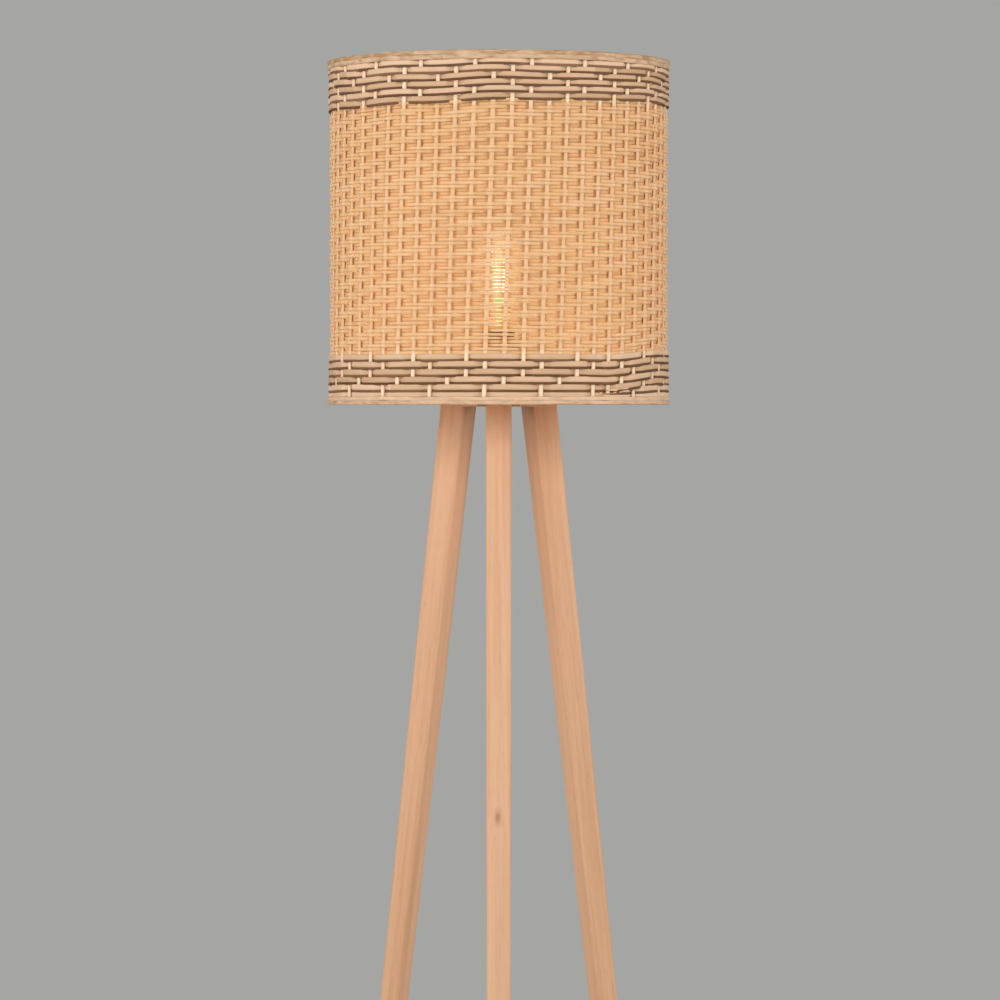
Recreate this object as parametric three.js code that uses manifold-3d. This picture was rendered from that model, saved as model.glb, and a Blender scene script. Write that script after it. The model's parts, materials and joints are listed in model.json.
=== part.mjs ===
// A floor lamp with a woven rattan drum shade on three tapered timber legs.
// Millimetres, +Z up. The origin is on the floor, on the lamp's upright axis, and the front leg is at -Y.

import * as THREE from "three";
import { mergeVertices } from "three/addons/utils/BufferGeometryUtils.js";
import Module from "manifold-3d";

const wasm = await Module();
wasm.setup();

// Names spread evenly round the axis, each with its azimuth
function evenAzimuths(names, first) {
  const step = (2 * Math.PI) / names.length;
  return Object.fromEntries(names.map((name, index) => [name, first + index * step]));
}

// Overall sizes
const totalHeight = 1500;
const shadeDiameter = 400;
const shadeHeight = 400;

// Clearances
const seatGap = 0.3;
const cutOverrun = 5;

// Legs: sections level with the shade's lower rim and at the floor
const legSplay = THREE.MathUtils.degToRad(7.17);
const legHubRadius = 54.4;
const legHubDepth = 34;
const legHubWidth = 29.8;
const legFloorDepth = 20.4;
const legFloorWidth = 26.4;
const legEdgeRadius = 3.5;
const legEdgeMostShare = 0.9;
const legTopRise = 32;
const legAzimuths = evenAzimuths(["front", "rear_right", "rear_left"], -Math.PI / 2);

// Floor glides
const glideDiameter = 17;
const glideHeight = 5;
const glideEdge = 1;
const glidePinDiameter = 3;
const glidePinLength = 14;

// Hub
const hubHeight = 28;
const hubDrop = 2;
const hubCornerDistance = 40;

// Hub bolts
const boltRises = { lower: 8, upper: 20 };
const boltDiameter = 6;
const boltGrip = 17;
const boltHeadDiameter = 12;
const boltHeadHeight = 3.5;
const boltHeadEdge = 0.8;
const boltSocketAcross = 4;
const boltSocketDepth = 2;

// Threaded tube, its nuts and washer, and the bushing that the cord would pass through
const tubeDiameter = 10;
const tubeBore = 7;
const tubeBelowNut = 3;
const tubeIntoHolder = 5;
const washerDiameter = 26;
const washerThickness = 1.5;
const nutAcross = 14;
const nutThickness = 4;
const bushingFlangeDiameter = 13;
const bushingFlangeThickness = 2;
const bushingSleeveLength = 7;
const bushingBore = 5;

// Lamp holder
const holderFootDiameter = 30;
const holderDiameter = 41;
const holderBaseHeight = 20;
const holderBaseFloor = 6;
const holderBaseShoulder = 9;
const holderWall = 2.4;
const holderBodyHeight = 37;
const holderFlangeDiameter = 51;
const holderFlangeTop = 9.6;
const holderFlangeThickness = 2.6;
const skirtDiameter = 39;
const holderBore = 33;
const insertThickness = 8;
const insertNeckDiameter = 22;
const insertNeckLength = 7;
const screwShellWall = 0.5;
const screwShellHeight = 23;
const contactWidth = 6;
const contactReach = 9;
const contactTongue = 4;
const contactThickness = 0.8;
const contactRise = 3;

// Shade ring: a flange and a ribbed collar on the skirt's thread
const collarFlangeDiameter = 54;
const collarFlangeThickness = 2.6;
const collarDiameter = 50;
const collarHeight = 9;
const collarRibs = 20;
const collarRibDepth = 1;
const collarRibShares = [[0, 0], [0.35, 0], [0.5, 1], [0.85, 1]];
const collarBoreGap = 0.4;

// Bulb
const capDiameter = 26;
const capHeight = 22.5;
const capWall = 0.5;
const capLip = 2.6;
const insulatorHeight = 3.4;
const insulatorTipDiameter = 11;
const tipDiameter = 9;
const tipThickness = 1.4;
const glassDiameter = 64;
const glassHeight = 114;
const glassNeckHeight = 9;
const glassWall = 1;
const glassBellyShare = 0.66;
const glassFlareShares = [[0.05, 0.3], [1, 0.46]];
const stemFootHeight = 1.2;
const stemFlare = 8;
const stemDiameter = 6;
const stemFlareShare = 1.5;
const stemHeight = 38;
const stemRodDiameter = 1.8;
const filamentLength = 66;
const filamentDiameter = 2.4;
const wireDiameter = 1;
const wireReachLow = 6;
const wireReachHigh = 8.5;
const filaments = 4;
const firstFilamentAzimuth = THREE.MathUtils.degToRad(22.5);

// Shade frame
const fittingBore = 42;
const fittingDiameter = 58;
const fittingThickness = 2;
const armDiameter = 4;
const armAzimuths = evenAzimuths(["back", "left", "right"], Math.PI / 2);
const hoopDiameter = 4;

// Woven wall: upright stakes, the fine weave between the bands, and the bands' weavers
const stakeCount = 57;
const stakeWidth = 5;
const stakeDepth = 3.6;
const stakeRoot = 1;
const stakeRingInset = 5.4;
const firstStakeAzimuth = THREE.MathUtils.degToRad(-164.4);
const stakeLean = THREE.MathUtils.degToRad(3.6);
const weaveRows = 70;
const weaveStrandThickness = 1.3;
const weaveRelief = 4.6;
const stakesPerFloat = 2;
const weaverThickness = 2.4;
const weaverGap = 0.5;
const weaverSlack = 0.5;
const weaverRowGap = 0.8;
const weaverBend = 3;
const stakesPerStitch = 3;
const upperRowPitch = 7.8;
const lowerRowPitch = 8.65;
const upperPegPhases = [1, 0, 2, 0, 1, 0];
const lowerPegPhases = [1, 2, 1, 0, 2];

// Rim bindings: channels that hold a hoop and the ends of the stakes
const upperBindingHeight = 10;
const lowerBindingHeight = 14;
const bindingWall = 2;
const bindingWeb = 3;
const bindingInnerHeight = 8;

// Facets
const roundSides = 18;
const fineSides = 10;
const wireSides = 5;
const drumSides = 36;
const cornerSteps = 3;
const glassSteps = 5;
const domeSteps = 4;

// Places worked out from the sizes
const rimHeight = totalHeight - shadeHeight;
const hubBottom = rimHeight - hubDrop;
const hubTop = hubBottom + hubHeight;
const holderBottom = hubTop + nutThickness + 2 * seatGap;
const holderBodyBottom = holderBottom + holderBaseHeight + seatGap;
const insertTop = holderBodyBottom + insertThickness;
const holderTop = holderBodyBottom + holderBodyHeight;
const fittingBottom = holderBodyBottom + holderFlangeTop + seatGap;
const fittingTop = fittingBottom + fittingThickness;
const tipBottom = insertTop + seatGap + contactRise + seatGap;
const insulatorBottom = tipBottom + tipThickness + seatGap;
const capBottom = insulatorBottom + insulatorHeight + seatGap;
const capTop = capBottom + capHeight;
const neckRadius = capDiameter / 2 - capWall - seatGap;
const neckBottom = capTop - glassNeckHeight;
const stakeRingRadius = shadeDiameter / 2 - stakeRingInset;
const upperBandTop = totalHeight - upperBindingHeight - seatGap;
const lowerBandBottom = rimHeight + lowerBindingHeight + seatGap;
const weaveTop = upperBandTop - upperPegPhases.length * upperRowPitch;
const weaveBottom = lowerBandBottom + lowerPegPhases.length * lowerRowPitch;
const weaveRowPitch = (weaveTop - weaveBottom) / weaveRows;
const hoopRadius = stakeRingRadius - stakeDepth / 2 - weaverGap - hoopDiameter / 2;

// Materials
function finish(colour, roughness, metalness = 0) {
  return new THREE.MeshStandardMaterial({ color: colour, roughness, metalness });
}

const finishes = {
  legWood: () => finish(0xd8ab89, 0.55),
  hubWood: () => finish(0xb98a68, 0.6),
  steel: () => finish(0x9b9c9e, 0.35, 1),
  brass: () => finish(0xc9a45c, 0.3, 1),
  blackPlastic: () => finish(0x171615, 0.4),
  ceramic: () => finish(0xe9e4d8, 0.5),
  glide: () => finish(0x5b544d, 0.8),
  wire: () => finish(0xd9d4ca, 0.4),
  panel: () => finish(0xe3b078, 0.6),
  weaver: () => finish(0xe2c4a0, 0.6),
  binding: () => finish(0xd9ab7c, 0.6),
  glass: () => finish(0xf6efe2, 0.05),
  filament: () => finish(0xffc46a, 0.4),
};

// Geometry helpers
function indexed(points, indices) {
  const geometry = new THREE.BufferGeometry().setFromPoints(points);
  geometry.setIndex(indices);
  geometry.computeVertexNormals();
  return geometry;
}

function sideFaces(indices, from, to, count) {
  for (let i = 0; i < count; i++) {
    const next = (i + 1) % count;
    indices.push(from + i, from + next, to + i, from + next, to + next, to + i);
  }
}

// A closed solid through convex rings of points that run anticlockwise seen from the last ring's side.
function loft(rings) {
  const count = rings[0].length;
  const indices = [];
  for (let level = 0; level < rings.length - 1; level++) {
    sideFaces(indices, level * count, (level + 1) * count, count);
  }
  const last = (rings.length - 1) * count;
  for (let i = 1; i < count - 1; i++) {
    indices.push(0, i + 1, i, last, last + i, last + i + 1);
  }
  return indexed(rings.flat(), indices);
}

// The same, where the last ring joins the first one again.
function closedLoft(rings) {
  const count = rings[0].length;
  const indices = [];
  rings.forEach((ring, level) => {
    sideFaces(indices, level * count, ((level + 1) % rings.length) * count, count);
  });
  return indexed(rings.flat(), indices);
}

// A profile of [radius, height] pairs turned about Z.
function turned(profile, sides = roundSides) {
  const points = profile.map(([radius, height]) => new THREE.Vector2(radius, height));
  return new THREE.LatheGeometry(points, sides).rotateX(Math.PI / 2);
}

function tube(inner, outer, bottom, top, sides = roundSides) {
  return turned([[inner, bottom], [outer, bottom], [outer, top], [inner, top], [inner, bottom]], sides);
}

function rod(start, end, radius, sides = fineSides) {
  const along = new THREE.Vector3().subVectors(end, start);
  const geometry = new THREE.CylinderGeometry(radius, radius, along.length(), sides);
  const turn = new THREE.Quaternion().setFromUnitVectors(
    new THREE.Vector3(0, 1, 0),
    along.clone().normalize(),
  );
  const middle = new THREE.Vector3().addVectors(start, end).multiplyScalar(0.5);
  return geometry.applyQuaternion(turn).translate(middle.x, middle.y, middle.z);
}

function hexagon(across, bottom, top) {
  const corner = across / Math.sqrt(3);
  const geometry = new THREE.CylinderGeometry(corner, corner, top - bottom, 6);
  return geometry.rotateX(Math.PI / 2).translate(0, 0, (top + bottom) / 2);
}

function toSolid(geometry) {
  const bare = geometry.clone();
  bare.deleteAttribute("normal");
  bare.deleteAttribute("uv");
  const merged = mergeVertices(bare);
  const vertProperties = merged.attributes.position.array;
  const triVerts = new Uint32Array(merged.index.array);
  return new wasm.Manifold(new wasm.Mesh({ numProp: 3, vertProperties, triVerts }));
}

function toGeometry(solid) {
  const { vertProperties, triVerts } = solid.getMesh();
  const geometry = new THREE.BufferGeometry();
  geometry.setAttribute("position", new THREE.BufferAttribute(vertProperties, 3));
  geometry.setIndex(new THREE.BufferAttribute(triVerts, 1));
  geometry.computeVertexNormals();
  return geometry;
}

function joined(geometries) {
  return toGeometry(geometries.map(toSolid).reduce((whole, next) => whole.add(next)));
}

function cut(geometry, cutters) {
  return toGeometry(cutters.map(toSolid).reduce((rest, next) => rest.subtract(next), toSolid(geometry)));
}

function piece(name, geometry, material) {
  const mesh = new THREE.Mesh(geometry, material);
  mesh.name = name;
  return mesh;
}

function polar(radius, azimuth, height) {
  return new THREE.Vector3(radius * Math.cos(azimuth), radius * Math.sin(azimuth), height);
}

// Legs, in a frame whose +X points away from the lamp's axis
const legMiddle = (height) => legHubRadius + (rimHeight - height) * Math.tan(legSplay);
const legDepth = (height) => legFloorDepth + ((legHubDepth - legFloorDepth) * height) / rimHeight;
const legWidth = (height) => legFloorWidth + ((legHubWidth - legFloorWidth) * height) / rimHeight;
const legInside = (height) => legMiddle(height) - legDepth(height) / 2;
const legOutside = (height) => legMiddle(height) + legDepth(height) / 2;

function legSection(height) {
  const halfDepth = legDepth(height) / 2;
  const halfWidth = legWidth(height) / 2;
  const radius = Math.min(legEdgeRadius, legEdgeMostShare * Math.min(halfDepth, halfWidth));
  const points = [];
  for (const [quarter, alongX, alongY] of [[-1, 1, -1], [0, 1, 1], [1, -1, 1], [2, -1, -1]]) {
    for (let step = 0; step <= cornerSteps; step++) {
      const angle = (Math.PI / 2) * (quarter + step / cornerSteps);
      points.push(
        new THREE.Vector3(
          legMiddle(height) + alongX * (halfDepth - radius) + radius * Math.cos(angle),
          alongY * (halfWidth - radius) + radius * Math.sin(angle),
          height,
        ),
      );
    }
  }
  return points;
}

// A bolt lies square to the leg. Its origin is on the leg's outer face and its +X points outward.
function boltPlace(rise) {
  const start = new THREE.Vector3(legInside(rimHeight + rise), 0, rimHeight + rise);
  const direction = new THREE.Vector3(Math.cos(legSplay), 0, Math.sin(legSplay));
  const faceSlope = (legOutside(rimHeight) - legOutside(0)) / rimHeight;
  const reach = (legOutside(start.z) - start.x) / (direction.x - faceSlope * direction.z);
  return { origin: start.addScaledVector(direction, reach), reach };
}

function placedBolt(geometry, rise) {
  const { origin } = boltPlace(rise);
  return geometry.rotateY(-legSplay).translate(origin.x, origin.y, origin.z);
}

function boltHole(rise) {
  const { reach } = boltPlace(rise);
  const inner = new THREE.Vector3(-reach - boltGrip - 2 * seatGap, 0, 0);
  const outer = new THREE.Vector3(cutOverrun, 0, 0);
  return placedBolt(rod(inner, outer, boltDiameter / 2 + seatGap), rise);
}

function boltShape(rise) {
  const { reach } = boltPlace(rise);
  const radius = boltHeadDiameter / 2;
  const top = seatGap + boltHeadHeight;
  const profile = [
    [0, -reach - boltGrip],
    [boltDiameter / 2, -reach - boltGrip],
    [boltDiameter / 2, seatGap],
    [radius, seatGap],
    [radius, top - boltHeadEdge],
    [radius - boltHeadEdge, top],
    [0, top],
  ];
  const socket = hexagon(boltSocketAcross, top - boltSocketDepth, top + cutOverrun);
  return placedBolt(cut(turned(profile, fineSides), [socket]).rotateY(Math.PI / 2), rise);
}

function glideShape() {
  const radius = glideDiameter / 2;
  const pin = glidePinDiameter / 2;
  const profile = [
    [0, 0],
    [radius - glideEdge, 0],
    [radius, glideEdge],
    [radius, glideHeight],
    [pin, glideHeight],
    [pin, glideHeight + glidePinLength],
    [0, glideHeight + glidePinLength],
  ];
  return turned(profile, fineSides).translate(legMiddle(0), 0, 0);
}

function legShape() {
  const foot = glideHeight + seatGap;
  const blank = loft([legSection(foot), legSection(rimHeight + legTopRise)]);
  const pinHole = rod(
    new THREE.Vector3(legMiddle(0), 0, 0),
    new THREE.Vector3(legMiddle(0), 0, glideHeight + glidePinLength + seatGap),
    glidePinDiameter / 2 + seatGap,
  );
  return cut(blank, [pinHole, ...Object.values(boltRises).map(boltHole)]);
}

function legSet(name, azimuth) {
  const set = new THREE.Group();
  set.rotation.z = azimuth;
  set.add(piece(`leg_${name}`, legShape(), finishes.legWood()));
  set.add(piece(`glide_${name}`, glideShape(), finishes.glide()));
  for (const [place, rise] of Object.entries(boltRises)) {
    set.add(piece(`bolt_${name}_${place}`, boltShape(rise), finishes.steel()));
  }
  return set;
}

// Hub: a six-sided block with three flats that lean with the legs and three cut corners
function hubSection(height) {
  const azimuths = Object.values(legAzimuths);
  const halfway = Math.PI / azimuths.length;
  const flats = azimuths.flatMap((azimuth) => [
    { azimuth, distance: legInside(height) - seatGap },
    { azimuth: azimuth + halfway, distance: hubCornerDistance },
  ]);
  flats.sort((a, b) => a.azimuth - b.azimuth);
  return flats.map((flat, index) => {
    const next = flats[(index + 1) % flats.length];
    const sideways = (next.distance - flat.distance * Math.cos(halfway)) / Math.sin(halfway);
    const onFlat = polar(flat.distance, flat.azimuth, height);
    return onFlat.add(polar(sideways, flat.azimuth + Math.PI / 2, 0));
  });
}

function hubShape() {
  const bore = rod(
    new THREE.Vector3(0, 0, hubBottom - cutOverrun),
    new THREE.Vector3(0, 0, hubTop + cutOverrun),
    tubeDiameter / 2 + seatGap,
  );
  const boltHoles = Object.values(legAzimuths).flatMap((azimuth) =>
    Object.values(boltRises).map((rise) => boltHole(rise).rotateZ(azimuth)),
  );
  return cut(loft([hubSection(hubBottom), hubSection(hubTop)]), [bore, ...boltHoles]);
}

function nutShape(bottom) {
  const bore = rod(
    new THREE.Vector3(0, 0, bottom - cutOverrun),
    new THREE.Vector3(0, 0, bottom + nutThickness + cutOverrun),
    tubeDiameter / 2 + seatGap,
  );
  return cut(hexagon(nutAcross, bottom, bottom + nutThickness), [bore]);
}

function bushingShape(top) {
  const bore = bushingBore / 2;
  const sleeve = tubeBore / 2 - seatGap;
  const flange = bushingFlangeDiameter / 2;
  const bottom = top - bushingFlangeThickness;
  const profile = [
    [bore, bottom],
    [flange, bottom],
    [flange, top],
    [sleeve, top],
    [sleeve, top + bushingSleeveLength],
    [bore, top + bushingSleeveLength],
    [bore, bottom],
  ];
  return turned(profile, fineSides);
}

function tubeParts() {
  const parts = new THREE.Group();
  const washerTop = hubBottom - seatGap;
  const lowerNutBottom = washerTop - washerThickness - seatGap - nutThickness;
  const tubeBottom = lowerNutBottom - tubeBelowNut;
  const tubeTop = holderBottom + tubeIntoHolder;
  const bore = tubeDiameter / 2 + seatGap;
  parts.add(
    piece(
      "threaded_tube",
      tube(tubeBore / 2, tubeDiameter / 2, tubeBottom, tubeTop, fineSides),
      finishes.brass(),
    ),
    piece(
      "lower_washer",
      tube(bore, washerDiameter / 2, washerTop - washerThickness, washerTop),
      finishes.steel(),
    ),
    piece("lower_nut", nutShape(lowerNutBottom), finishes.steel()),
    piece("upper_nut", nutShape(hubTop + seatGap), finishes.steel()),
    piece("cord_bushing", bushingShape(tubeBottom - seatGap), finishes.blackPlastic()),
  );
  return parts;
}

// Lamp holder
function holderBaseShape() {
  const bore = tubeDiameter / 2 + seatGap;
  const radius = holderDiameter / 2;
  const foot = holderFootDiameter / 2;
  return turned([
    [bore, 0],
    [foot, 0],
    [(foot + radius) / 2, holderBaseShoulder / 3],
    [radius, holderBaseShoulder],
    [radius, holderBaseHeight],
    [radius - holderWall, holderBaseHeight],
    [radius - holderWall, holderBaseShoulder],
    [foot, holderBaseFloor],
    [bore, holderBaseFloor],
    [bore, 0],
  ]).translate(0, 0, holderBottom);
}

function holderBodyShape() {
  const bore = holderBore / 2;
  const radius = holderDiameter / 2;
  const flange = holderFlangeDiameter / 2;
  const skirt = skirtDiameter / 2;
  return turned([
    [bore, 0],
    [radius, 0],
    [radius, holderFlangeTop - holderFlangeThickness],
    [flange, holderFlangeTop - holderFlangeThickness],
    [flange, holderFlangeTop],
    [skirt, holderFlangeTop],
    [skirt, holderBodyHeight],
    [bore, holderBodyHeight],
    [bore, 0],
  ]).translate(0, 0, holderBodyBottom);
}

function insertShape() {
  const radius = holderBore / 2 - seatGap;
  return turned([
    [0, -insertNeckLength],
    [insertNeckDiameter / 2, -insertNeckLength],
    [insertNeckDiameter / 2, 0],
    [radius, 0],
    [radius, insertThickness],
    [0, insertThickness],
  ]).translate(0, 0, holderBodyBottom);
}

function screwShellShape() {
  const inner = capDiameter / 2 + seatGap;
  const foot = holderBore / 2 - seatGap;
  return turned([
    [inner, 0],
    [foot, 0],
    [foot, screwShellWall],
    [inner + screwShellWall, screwShellWall],
    [inner + screwShellWall, screwShellHeight],
    [inner, screwShellHeight],
    [inner, 0],
  ]).translate(0, 0, insertTop + seatGap);
}

// A strip bent up under the bulb's tip
function contactShape() {
  const bend = contactReach - contactTongue;
  const outline = new THREE.Shape();
  outline.moveTo(-contactReach, 0);
  outline.lineTo(-bend, 0);
  outline.lineTo(0, contactRise - contactThickness);
  outline.lineTo(contactTongue, contactRise - contactThickness);
  outline.lineTo(contactTongue, contactRise);
  outline.lineTo(0, contactRise);
  outline.lineTo(-bend, contactThickness);
  outline.lineTo(-contactReach, contactThickness);
  const strip = new THREE.ExtrudeGeometry(outline, { depth: contactWidth, bevelEnabled: false });
  return strip.rotateX(Math.PI / 2).translate(0, contactWidth / 2, insertTop + seatGap);
}

function holderParts() {
  const parts = new THREE.Group();
  parts.add(
    piece("holder_base", holderBaseShape(), finishes.blackPlastic()),
    piece("holder_body", holderBodyShape(), finishes.blackPlastic()),
    piece("holder_insert", insertShape(), finishes.ceramic()),
    piece("screw_shell", screwShellShape(), finishes.brass()),
    piece("centre_contact", contactShape(), finishes.brass()),
  );
  return parts;
}

// Shade ring
function collarShape(bottom) {
  const inner = skirtDiameter / 2 + collarBoreGap;
  const pitch = (2 * Math.PI) / collarRibs;
  const root = collarDiameter / 2 - collarRibDepth;
  const points = [];
  for (let rib = 0; rib < collarRibs; rib++) {
    for (const [turnShare, depthShare] of collarRibShares) {
      const point = polar(root + depthShare * collarRibDepth, (rib + turnShare) * pitch, 0);
      points.push(new THREE.Vector2(point.x, point.y));
    }
  }
  const outline = new THREE.Shape(points);
  const hole = new THREE.Path();
  hole.absarc(0, 0, inner, 0, 2 * Math.PI, true);
  outline.holes.push(hole);
  const options = { depth: collarHeight, bevelEnabled: false, curveSegments: roundSides };
  return new THREE.ExtrudeGeometry(outline, options).translate(0, 0, bottom);
}

function ringParts() {
  const parts = new THREE.Group();
  const bottom = fittingTop + seatGap;
  const flangeTop = bottom + collarFlangeThickness;
  const inner = skirtDiameter / 2 + collarBoreGap;
  parts.add(
    piece(
      "shade_ring_flange",
      tube(inner, collarFlangeDiameter / 2, bottom, flangeTop),
      finishes.blackPlastic(),
    ),
    piece("shade_ring_collar", collarShape(flangeTop + seatGap), finishes.blackPlastic()),
  );
  return parts;
}

// Bulb
function capShape() {
  const outer = capDiameter / 2;
  const inner = outer - capWall;
  return turned([
    [inner - capLip, 0],
    [inner, 0],
    [outer, capLip],
    [outer, capHeight],
    [inner, capHeight],
    [inner, capLip],
    [inner - capLip, capWall],
    [inner - capLip, 0],
  ]).translate(0, 0, capBottom);
}

function insulatorShape() {
  return turned([
    [0, 0],
    [insulatorTipDiameter / 2, 0],
    [capDiameter / 2 - capWall, insulatorHeight],
    [0, insulatorHeight],
  ]).translate(0, 0, insulatorBottom);
}

function tipShape() {
  return turned(
    [
      [0, 0],
      [tipDiameter / 4, 0],
      [tipDiameter / 2, tipThickness / 2],
      [tipDiameter / 2, tipThickness],
      [0, tipThickness],
    ],
    fineSides,
  ).translate(0, 0, tipBottom);
}

// The glass's outline grown or shrunk by an offset: a straight neck, a long flare and a domed top
function glassOutline(offset) {
  const neck = neckRadius + offset;
  const belly = glassDiameter / 2 + offset;
  const bellyHeight = glassBellyShare * glassHeight;
  const pulls = glassFlareShares.map(
    ([outShare, riseShare]) =>
      new THREE.Vector2(neck + outShare * (belly - neck), riseShare * glassHeight),
  );
  const flare = new THREE.CubicBezierCurve(
    new THREE.Vector2(neck, glassNeckHeight),
    ...pulls,
    new THREE.Vector2(belly, bellyHeight),
  );
  const dome = glassNeckHeight + glassHeight + offset - bellyHeight;
  const points = [[neck, 0], ...flare.getPoints(glassSteps).map((point) => [point.x, point.y])];
  for (let step = 1; step < domeSteps; step++) {
    const angle = (Math.PI / 2) * (step / domeSteps);
    points.push([belly * Math.cos(angle), bellyHeight + dome * Math.sin(angle)]);
  }
  points.push([0, bellyHeight + dome]);
  return points;
}

function glassShape() {
  const inside = glassOutline(-glassWall).reverse();
  return turned([...inside, ...glassOutline(0)]).translate(0, 0, neckBottom);
}

const stemBottom = neckBottom + seatGap;
const lowWires = stemBottom + stemHeight - stemDiameter / 2;
const highWires = lowWires + filamentLength;

function filamentAzimuth(index) {
  return firstFilamentAzimuth + (2 * Math.PI * index) / filaments;
}

function stemShape() {
  const foot = neckRadius - glassWall - seatGap;
  const stem = turned(
    [
      [0, 0],
      [foot, 0],
      [foot, stemFootHeight],
      [(stemFlareShare * stemDiameter) / 2, stemFlare],
      [stemDiameter / 2, 2 * stemFlare],
      [stemDiameter / 2, stemHeight],
      [stemRodDiameter / 2, stemHeight + stemDiameter / 2],
      [stemRodDiameter / 2, stemHeight + filamentLength],
      [0, stemHeight + filamentLength],
    ],
    fineSides,
  ).translate(0, 0, stemBottom);
  const wires = [];
  for (let index = 0; index < filaments; index++) {
    const azimuth = filamentAzimuth(index);
    for (const [reach, height] of [[wireReachLow, lowWires], [wireReachHigh, highWires]]) {
      const end = polar(reach, azimuth, height);
      wires.push(rod(polar(0, azimuth, height), end, wireDiameter / 2, wireSides));
    }
  }
  return joined([stem, ...wires]);
}

function filamentShape(index) {
  const azimuth = filamentAzimuth(index);
  const clear = wireDiameter / 2 + seatGap + filamentDiameter / 4;
  const start = polar(wireReachLow - wireDiameter / 2, azimuth, lowWires + clear);
  const end = polar(wireReachHigh - wireDiameter / 2, azimuth, highWires - clear);
  return rod(start, end, filamentDiameter / 2, wireSides);
}

function bulbParts() {
  const parts = new THREE.Group();
  parts.add(
    piece("bulb_contact", tipShape(), finishes.steel()),
    piece("bulb_insulator", insulatorShape(), finishes.blackPlastic()),
    piece("bulb_cap", capShape(), finishes.brass()),
    piece("bulb_glass", glassShape(), finishes.glass()),
    piece("bulb_stem", stemShape(), finishes.glass()),
  );
  for (let index = 0; index < filaments; index++) {
    parts.add(piece(`filament_${index + 1}`, filamentShape(index), finishes.filament()));
  }
  return parts;
}

// Shade frame
function armShape(azimuth) {
  const radius = armDiameter / 2;
  const start = polar(fittingDiameter / 2 + seatGap + radius / 2, azimuth, (fittingBottom + fittingTop) / 2);
  const hoopMiddle = rimHeight + bindingWeb + seatGap + hoopDiameter / 2;
  const endHeight = hoopMiddle + hoopDiameter / 2 + radius + 2 * seatGap;
  const end = polar(hoopRadius - radius, azimuth, endHeight);
  return rod(start, end, radius, wireSides);
}

function hoopShape(height) {
  const ring = new THREE.TorusGeometry(hoopRadius, hoopDiameter / 2, wireSides, drumSides);
  return ring.rotateZ(-Math.PI / 2).translate(0, 0, height);
}

// A channel open towards the shade's middle: open upward at the lower rim, turned over at the upper one
function bindingShape(height) {
  const outer = shadeDiameter / 2;
  const inside = hoopRadius - hoopDiameter / 2 - seatGap;
  const outside = outer - bindingWall;
  const inner = inside - bindingWall;
  const innerHeight = Math.min(height, bindingInnerHeight);
  return [
    [inner, 0],
    [outer, 0],
    [outer, height],
    [outside, height],
    [outside, bindingWeb],
    [inside, bindingWeb],
    [inside, innerHeight],
    [inner, innerHeight],
    [inner, 0],
  ];
}

function lowerBindingShape() {
  return turned(bindingShape(lowerBindingHeight), drumSides).translate(0, 0, rimHeight);
}

function upperBindingShape() {
  const upsideDown = bindingShape(upperBindingHeight).map(([radius, height]) => [radius, -height]);
  return turned(upsideDown.reverse(), drumSides).translate(0, 0, totalHeight);
}

// Where a stake stands at a height, as an azimuth. The stakes lean round the drum.
function stakeAzimuth(index, height) {
  const lean = (stakeLean * (height - rimHeight)) / shadeHeight;
  return firstStakeAzimuth + (2 * Math.PI * index) / stakeCount + lean;
}

// A straight stretch of a stake, square to the drum at its middle
function stakeStretch(index, low, high) {
  const facing = stakeAzimuth(index, (low + high) / 2);
  const out = polar(stakeDepth / 2, facing, 0);
  const along = polar(stakeWidth / 2, facing + Math.PI / 2, 0);
  const rings = [low, high].map((height) => {
    const middle = polar(stakeRingRadius, stakeAzimuth(index, height), height);
    const inside = middle.clone().sub(out);
    const outside = middle.clone().add(out);
    return [
      inside.clone().sub(along),
      outside.clone().sub(along),
      outside.clone().add(along),
      inside.clone().add(along),
    ];
  });
  return loft(rings);
}

// A stake's two ends. The fine weave hides it between them, so each end stops just inside the weave.
function stakeEnds(index) {
  return [
    stakeStretch(index, rimHeight + bindingWeb + seatGap, weaveBottom + seatGap + stakeRoot),
    stakeStretch(index, weaveTop - seatGap - stakeRoot, totalHeight - bindingWeb - seatGap),
  ];
}

// A column of points on the weave's outer face, from the bottom up, at a place counted in stakes. The face
// stands out where the strand passes in front of two stakes and in where it passes behind the next two.
// The strand starts at the top and runs a row lower with each turn, so the crests climb round the drum.
function weaveColumn(place) {
  const bottom = weaveBottom + seatGap;
  const top = weaveTop - seatGap;
  const crest = stakeRingRadius + stakeDepth / 2 + weaverGap + weaveStrandThickness;
  const at = (radius, height) => polar(radius, stakeAzimuth(place, height), height);
  const step = stakesPerFloat * weaveRowPitch;
  const start = weaveTop + weaveRowPitch * (place - place / stakeCount - 1 / 2);
  const points = [at(crest, bottom)];
  let wave = Math.ceil((bottom + weaveRowPitch - start) / step);
  while (start + wave * step < top - weaveRowPitch) {
    points.push(at(wave % 2 === 0 ? crest : crest - weaveRelief, start + wave * step));
    wave++;
  }
  return [...points, at(crest, top)];
}

// Faces between two columns of points that run upward. The column whose next point is lower goes on first.
function zipped(indices, points, left, right) {
  const nextHeight = (column, level) => (level + 1 < column.length ? points[column[level + 1]].z : Infinity);
  let from = 0;
  let to = 0;
  while (from < left.length - 1 || to < right.length - 1) {
    if (nextHeight(left, from) < nextHeight(right, to)) {
      indices.push(left[from], right[to], left[from + 1]);
      from++;
    } else {
      indices.push(left[from], right[to], right[to + 1]);
      to++;
    }
  }
}

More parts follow.
